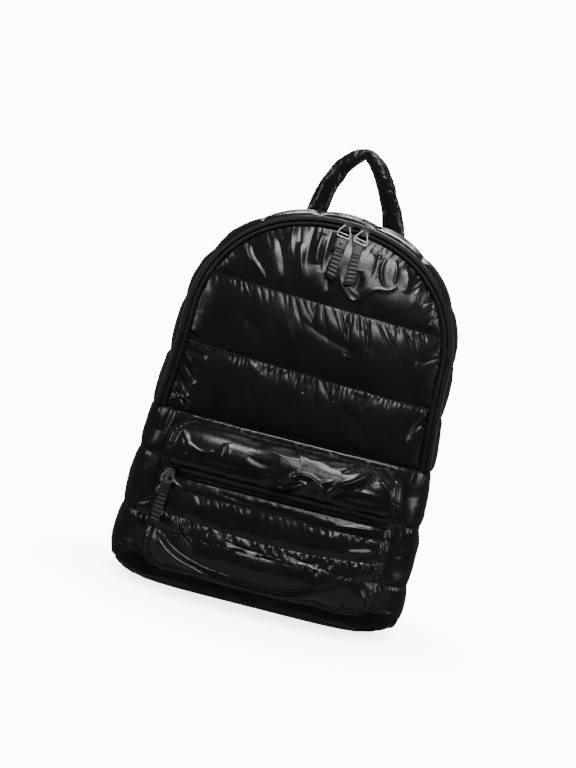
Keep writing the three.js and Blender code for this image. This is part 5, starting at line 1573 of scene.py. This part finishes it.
def strap_place(flat, height):
    along = np.interp(flat[:, 1], strap_run, strap_steps)
    path = strap_path(along)
    run = unit(strap_path(np.minimum(along + 0.02, 1)) - strap_path(np.maximum(along - 0.02, 0)))
    across = unit(np.cross([0, 1, 0], run))
    through = np.cross(run, across)
    edge = np.clip(edge_distance(flat, strap_outline) / STRAP_ROLL, 0, 1)
    roll = np.sqrt(1 - (1 - edge) ** 2)
    lift = height * roll if np.all(np.asarray(height) < 0) else height
    return path + across * flat[:, :1] + through * np.reshape(lift, (-1, 1)) + BAG_SHIFT


right_strap = quilted_pad(
    "strap_pad_right",
    "shoulder_strap_right",
    strap_outline,
    strap_seams,
    strap_place,
    (1.05, 1, 1.03),
    gathers=[
        (strap_seams[0], -1, 0.007, [0.006, 0.008, 0.006], 0.6, 0, 31),
        (strap_seams[1], 1, 0.007, [0.006, 0.008, 0.006], 0.6, 0, 32),
    ],
    seed=23,
    most=0.0065,
    thickness=0.0048,
)
left_mesh = right_strap.data.copy()
left_mesh.name = "strap_pad_left"
left_mesh.vertices.foreach_set("co", across_bag(points_of(right_strap)).astype(np.float32).ravel())
left_mesh.flip_normals()
fitted(linked("strap_pad_left", left_mesh), "shell_nylon", "shoulder_strap_left", fill=PAD_FILL)
strap_rows = seam_rows(strap_place, strap_seams)
stitched("strap_stitches", strap_rows + [(across_bag(row), out * [-1, 1, 1]) for row, out in strap_rows])

webbing_way = np.array([ANCHOR_SPACING - STRAP_END[0], 0, ANCHOR_HEIGHT - STRAP_END[1]])
webbing_reach = float(np.linalg.norm(webbing_way))
up_webbing = -webbing_way / webbing_reach
across_webbing = np.cross([0, 1, 0], up_webbing)
strap_foot = strap_path(np.array([1.0]))[0] + BAG_SHIFT
cloth_line = BUCKLE_HALF + GAP + WEBBING_THICKNESS / 2
top_bar = -GAP - TAB_LENGTH - GAP
slot_height = (BUCKLE_HEIGHT - 3 * BUCKLE_BAR) / 2
middle_bar = top_bar - BUCKLE_BAR - slot_height


def webbing_strip(name, node, side, line):
    """Webbing along a line of places away from the back and up the strap's end"""
    line = spaced(np.array(line), 0.0008)
    path = strap_foot + line[:, :1] * np.array([0, 1, 0]) + line[:, 1:] * up_webbing
    along = unit(np.gradient(path, axis=0))
    across = np.tile(across_webbing, (len(path), 1))
    widths, thicknesses = np.full(len(path), WEBBING_WIDTH), np.full(len(path), WEBBING_THICKNESS)
    points, triangles = swept(tube(path, across, np.cross(along, across), widths, thicknesses, 16, power=6))
    if side < 0:
        points = across_bag(points)
        triangles = outward_faces(points, triangles)
    return made_piece(name, points, triangles, webbing, "webbing", node)


def turn_line(centre, reach, way):
    """A squarish half turn round a bar"""
    angle = np.linspace(0, math.pi, 25)
    off = [math.copysign(abs(math.cos(a)) ** 0.5, math.cos(a)) * cloth_line for a in angle]
    return [(aside, centre + way * reach * math.sin(a) ** 0.5) for aside, a in zip(off, angle)]


TURN_INSET, TURN_REACH, TAB_OVERLAP, LOOSE_END = 0.0009, 0.002, 0.0005, 0.02
tab_turn = turn_line(top_bar - BUCKLE_BAR + TURN_INSET, TURN_REACH, -1)
webbing_turn = turn_line(middle_bar - TURN_INSET, TURN_REACH, 1)
tab_line = [(cloth_line, TAB_OVERLAP), *tab_turn, (-cloth_line, TAB_OVERLAP)]
webbing_line = [(cloth_line, middle_bar - LOOSE_END), *webbing_turn, (-cloth_line, -webbing_reach)]
for side, name in ((1, "right"), (-1, "left")):
    webbing_strip(f"strap_tab_{name}_webbing", f"strap_tab_{name}", side, tab_line)
    webbing_strip(f"strap_webbing_{name}_strip", f"strap_webbing_{name}", side, webbing_line)
    softened(f"strap_buckle_{name}_moulding", f"strap_buckle_{name}", 0.0007, plastic, "buckle_plastic")
    softened(f"strap_anchor_{name}_wing", f"strap_anchor_{name}", 0.0005, nylon, "shell_nylon")
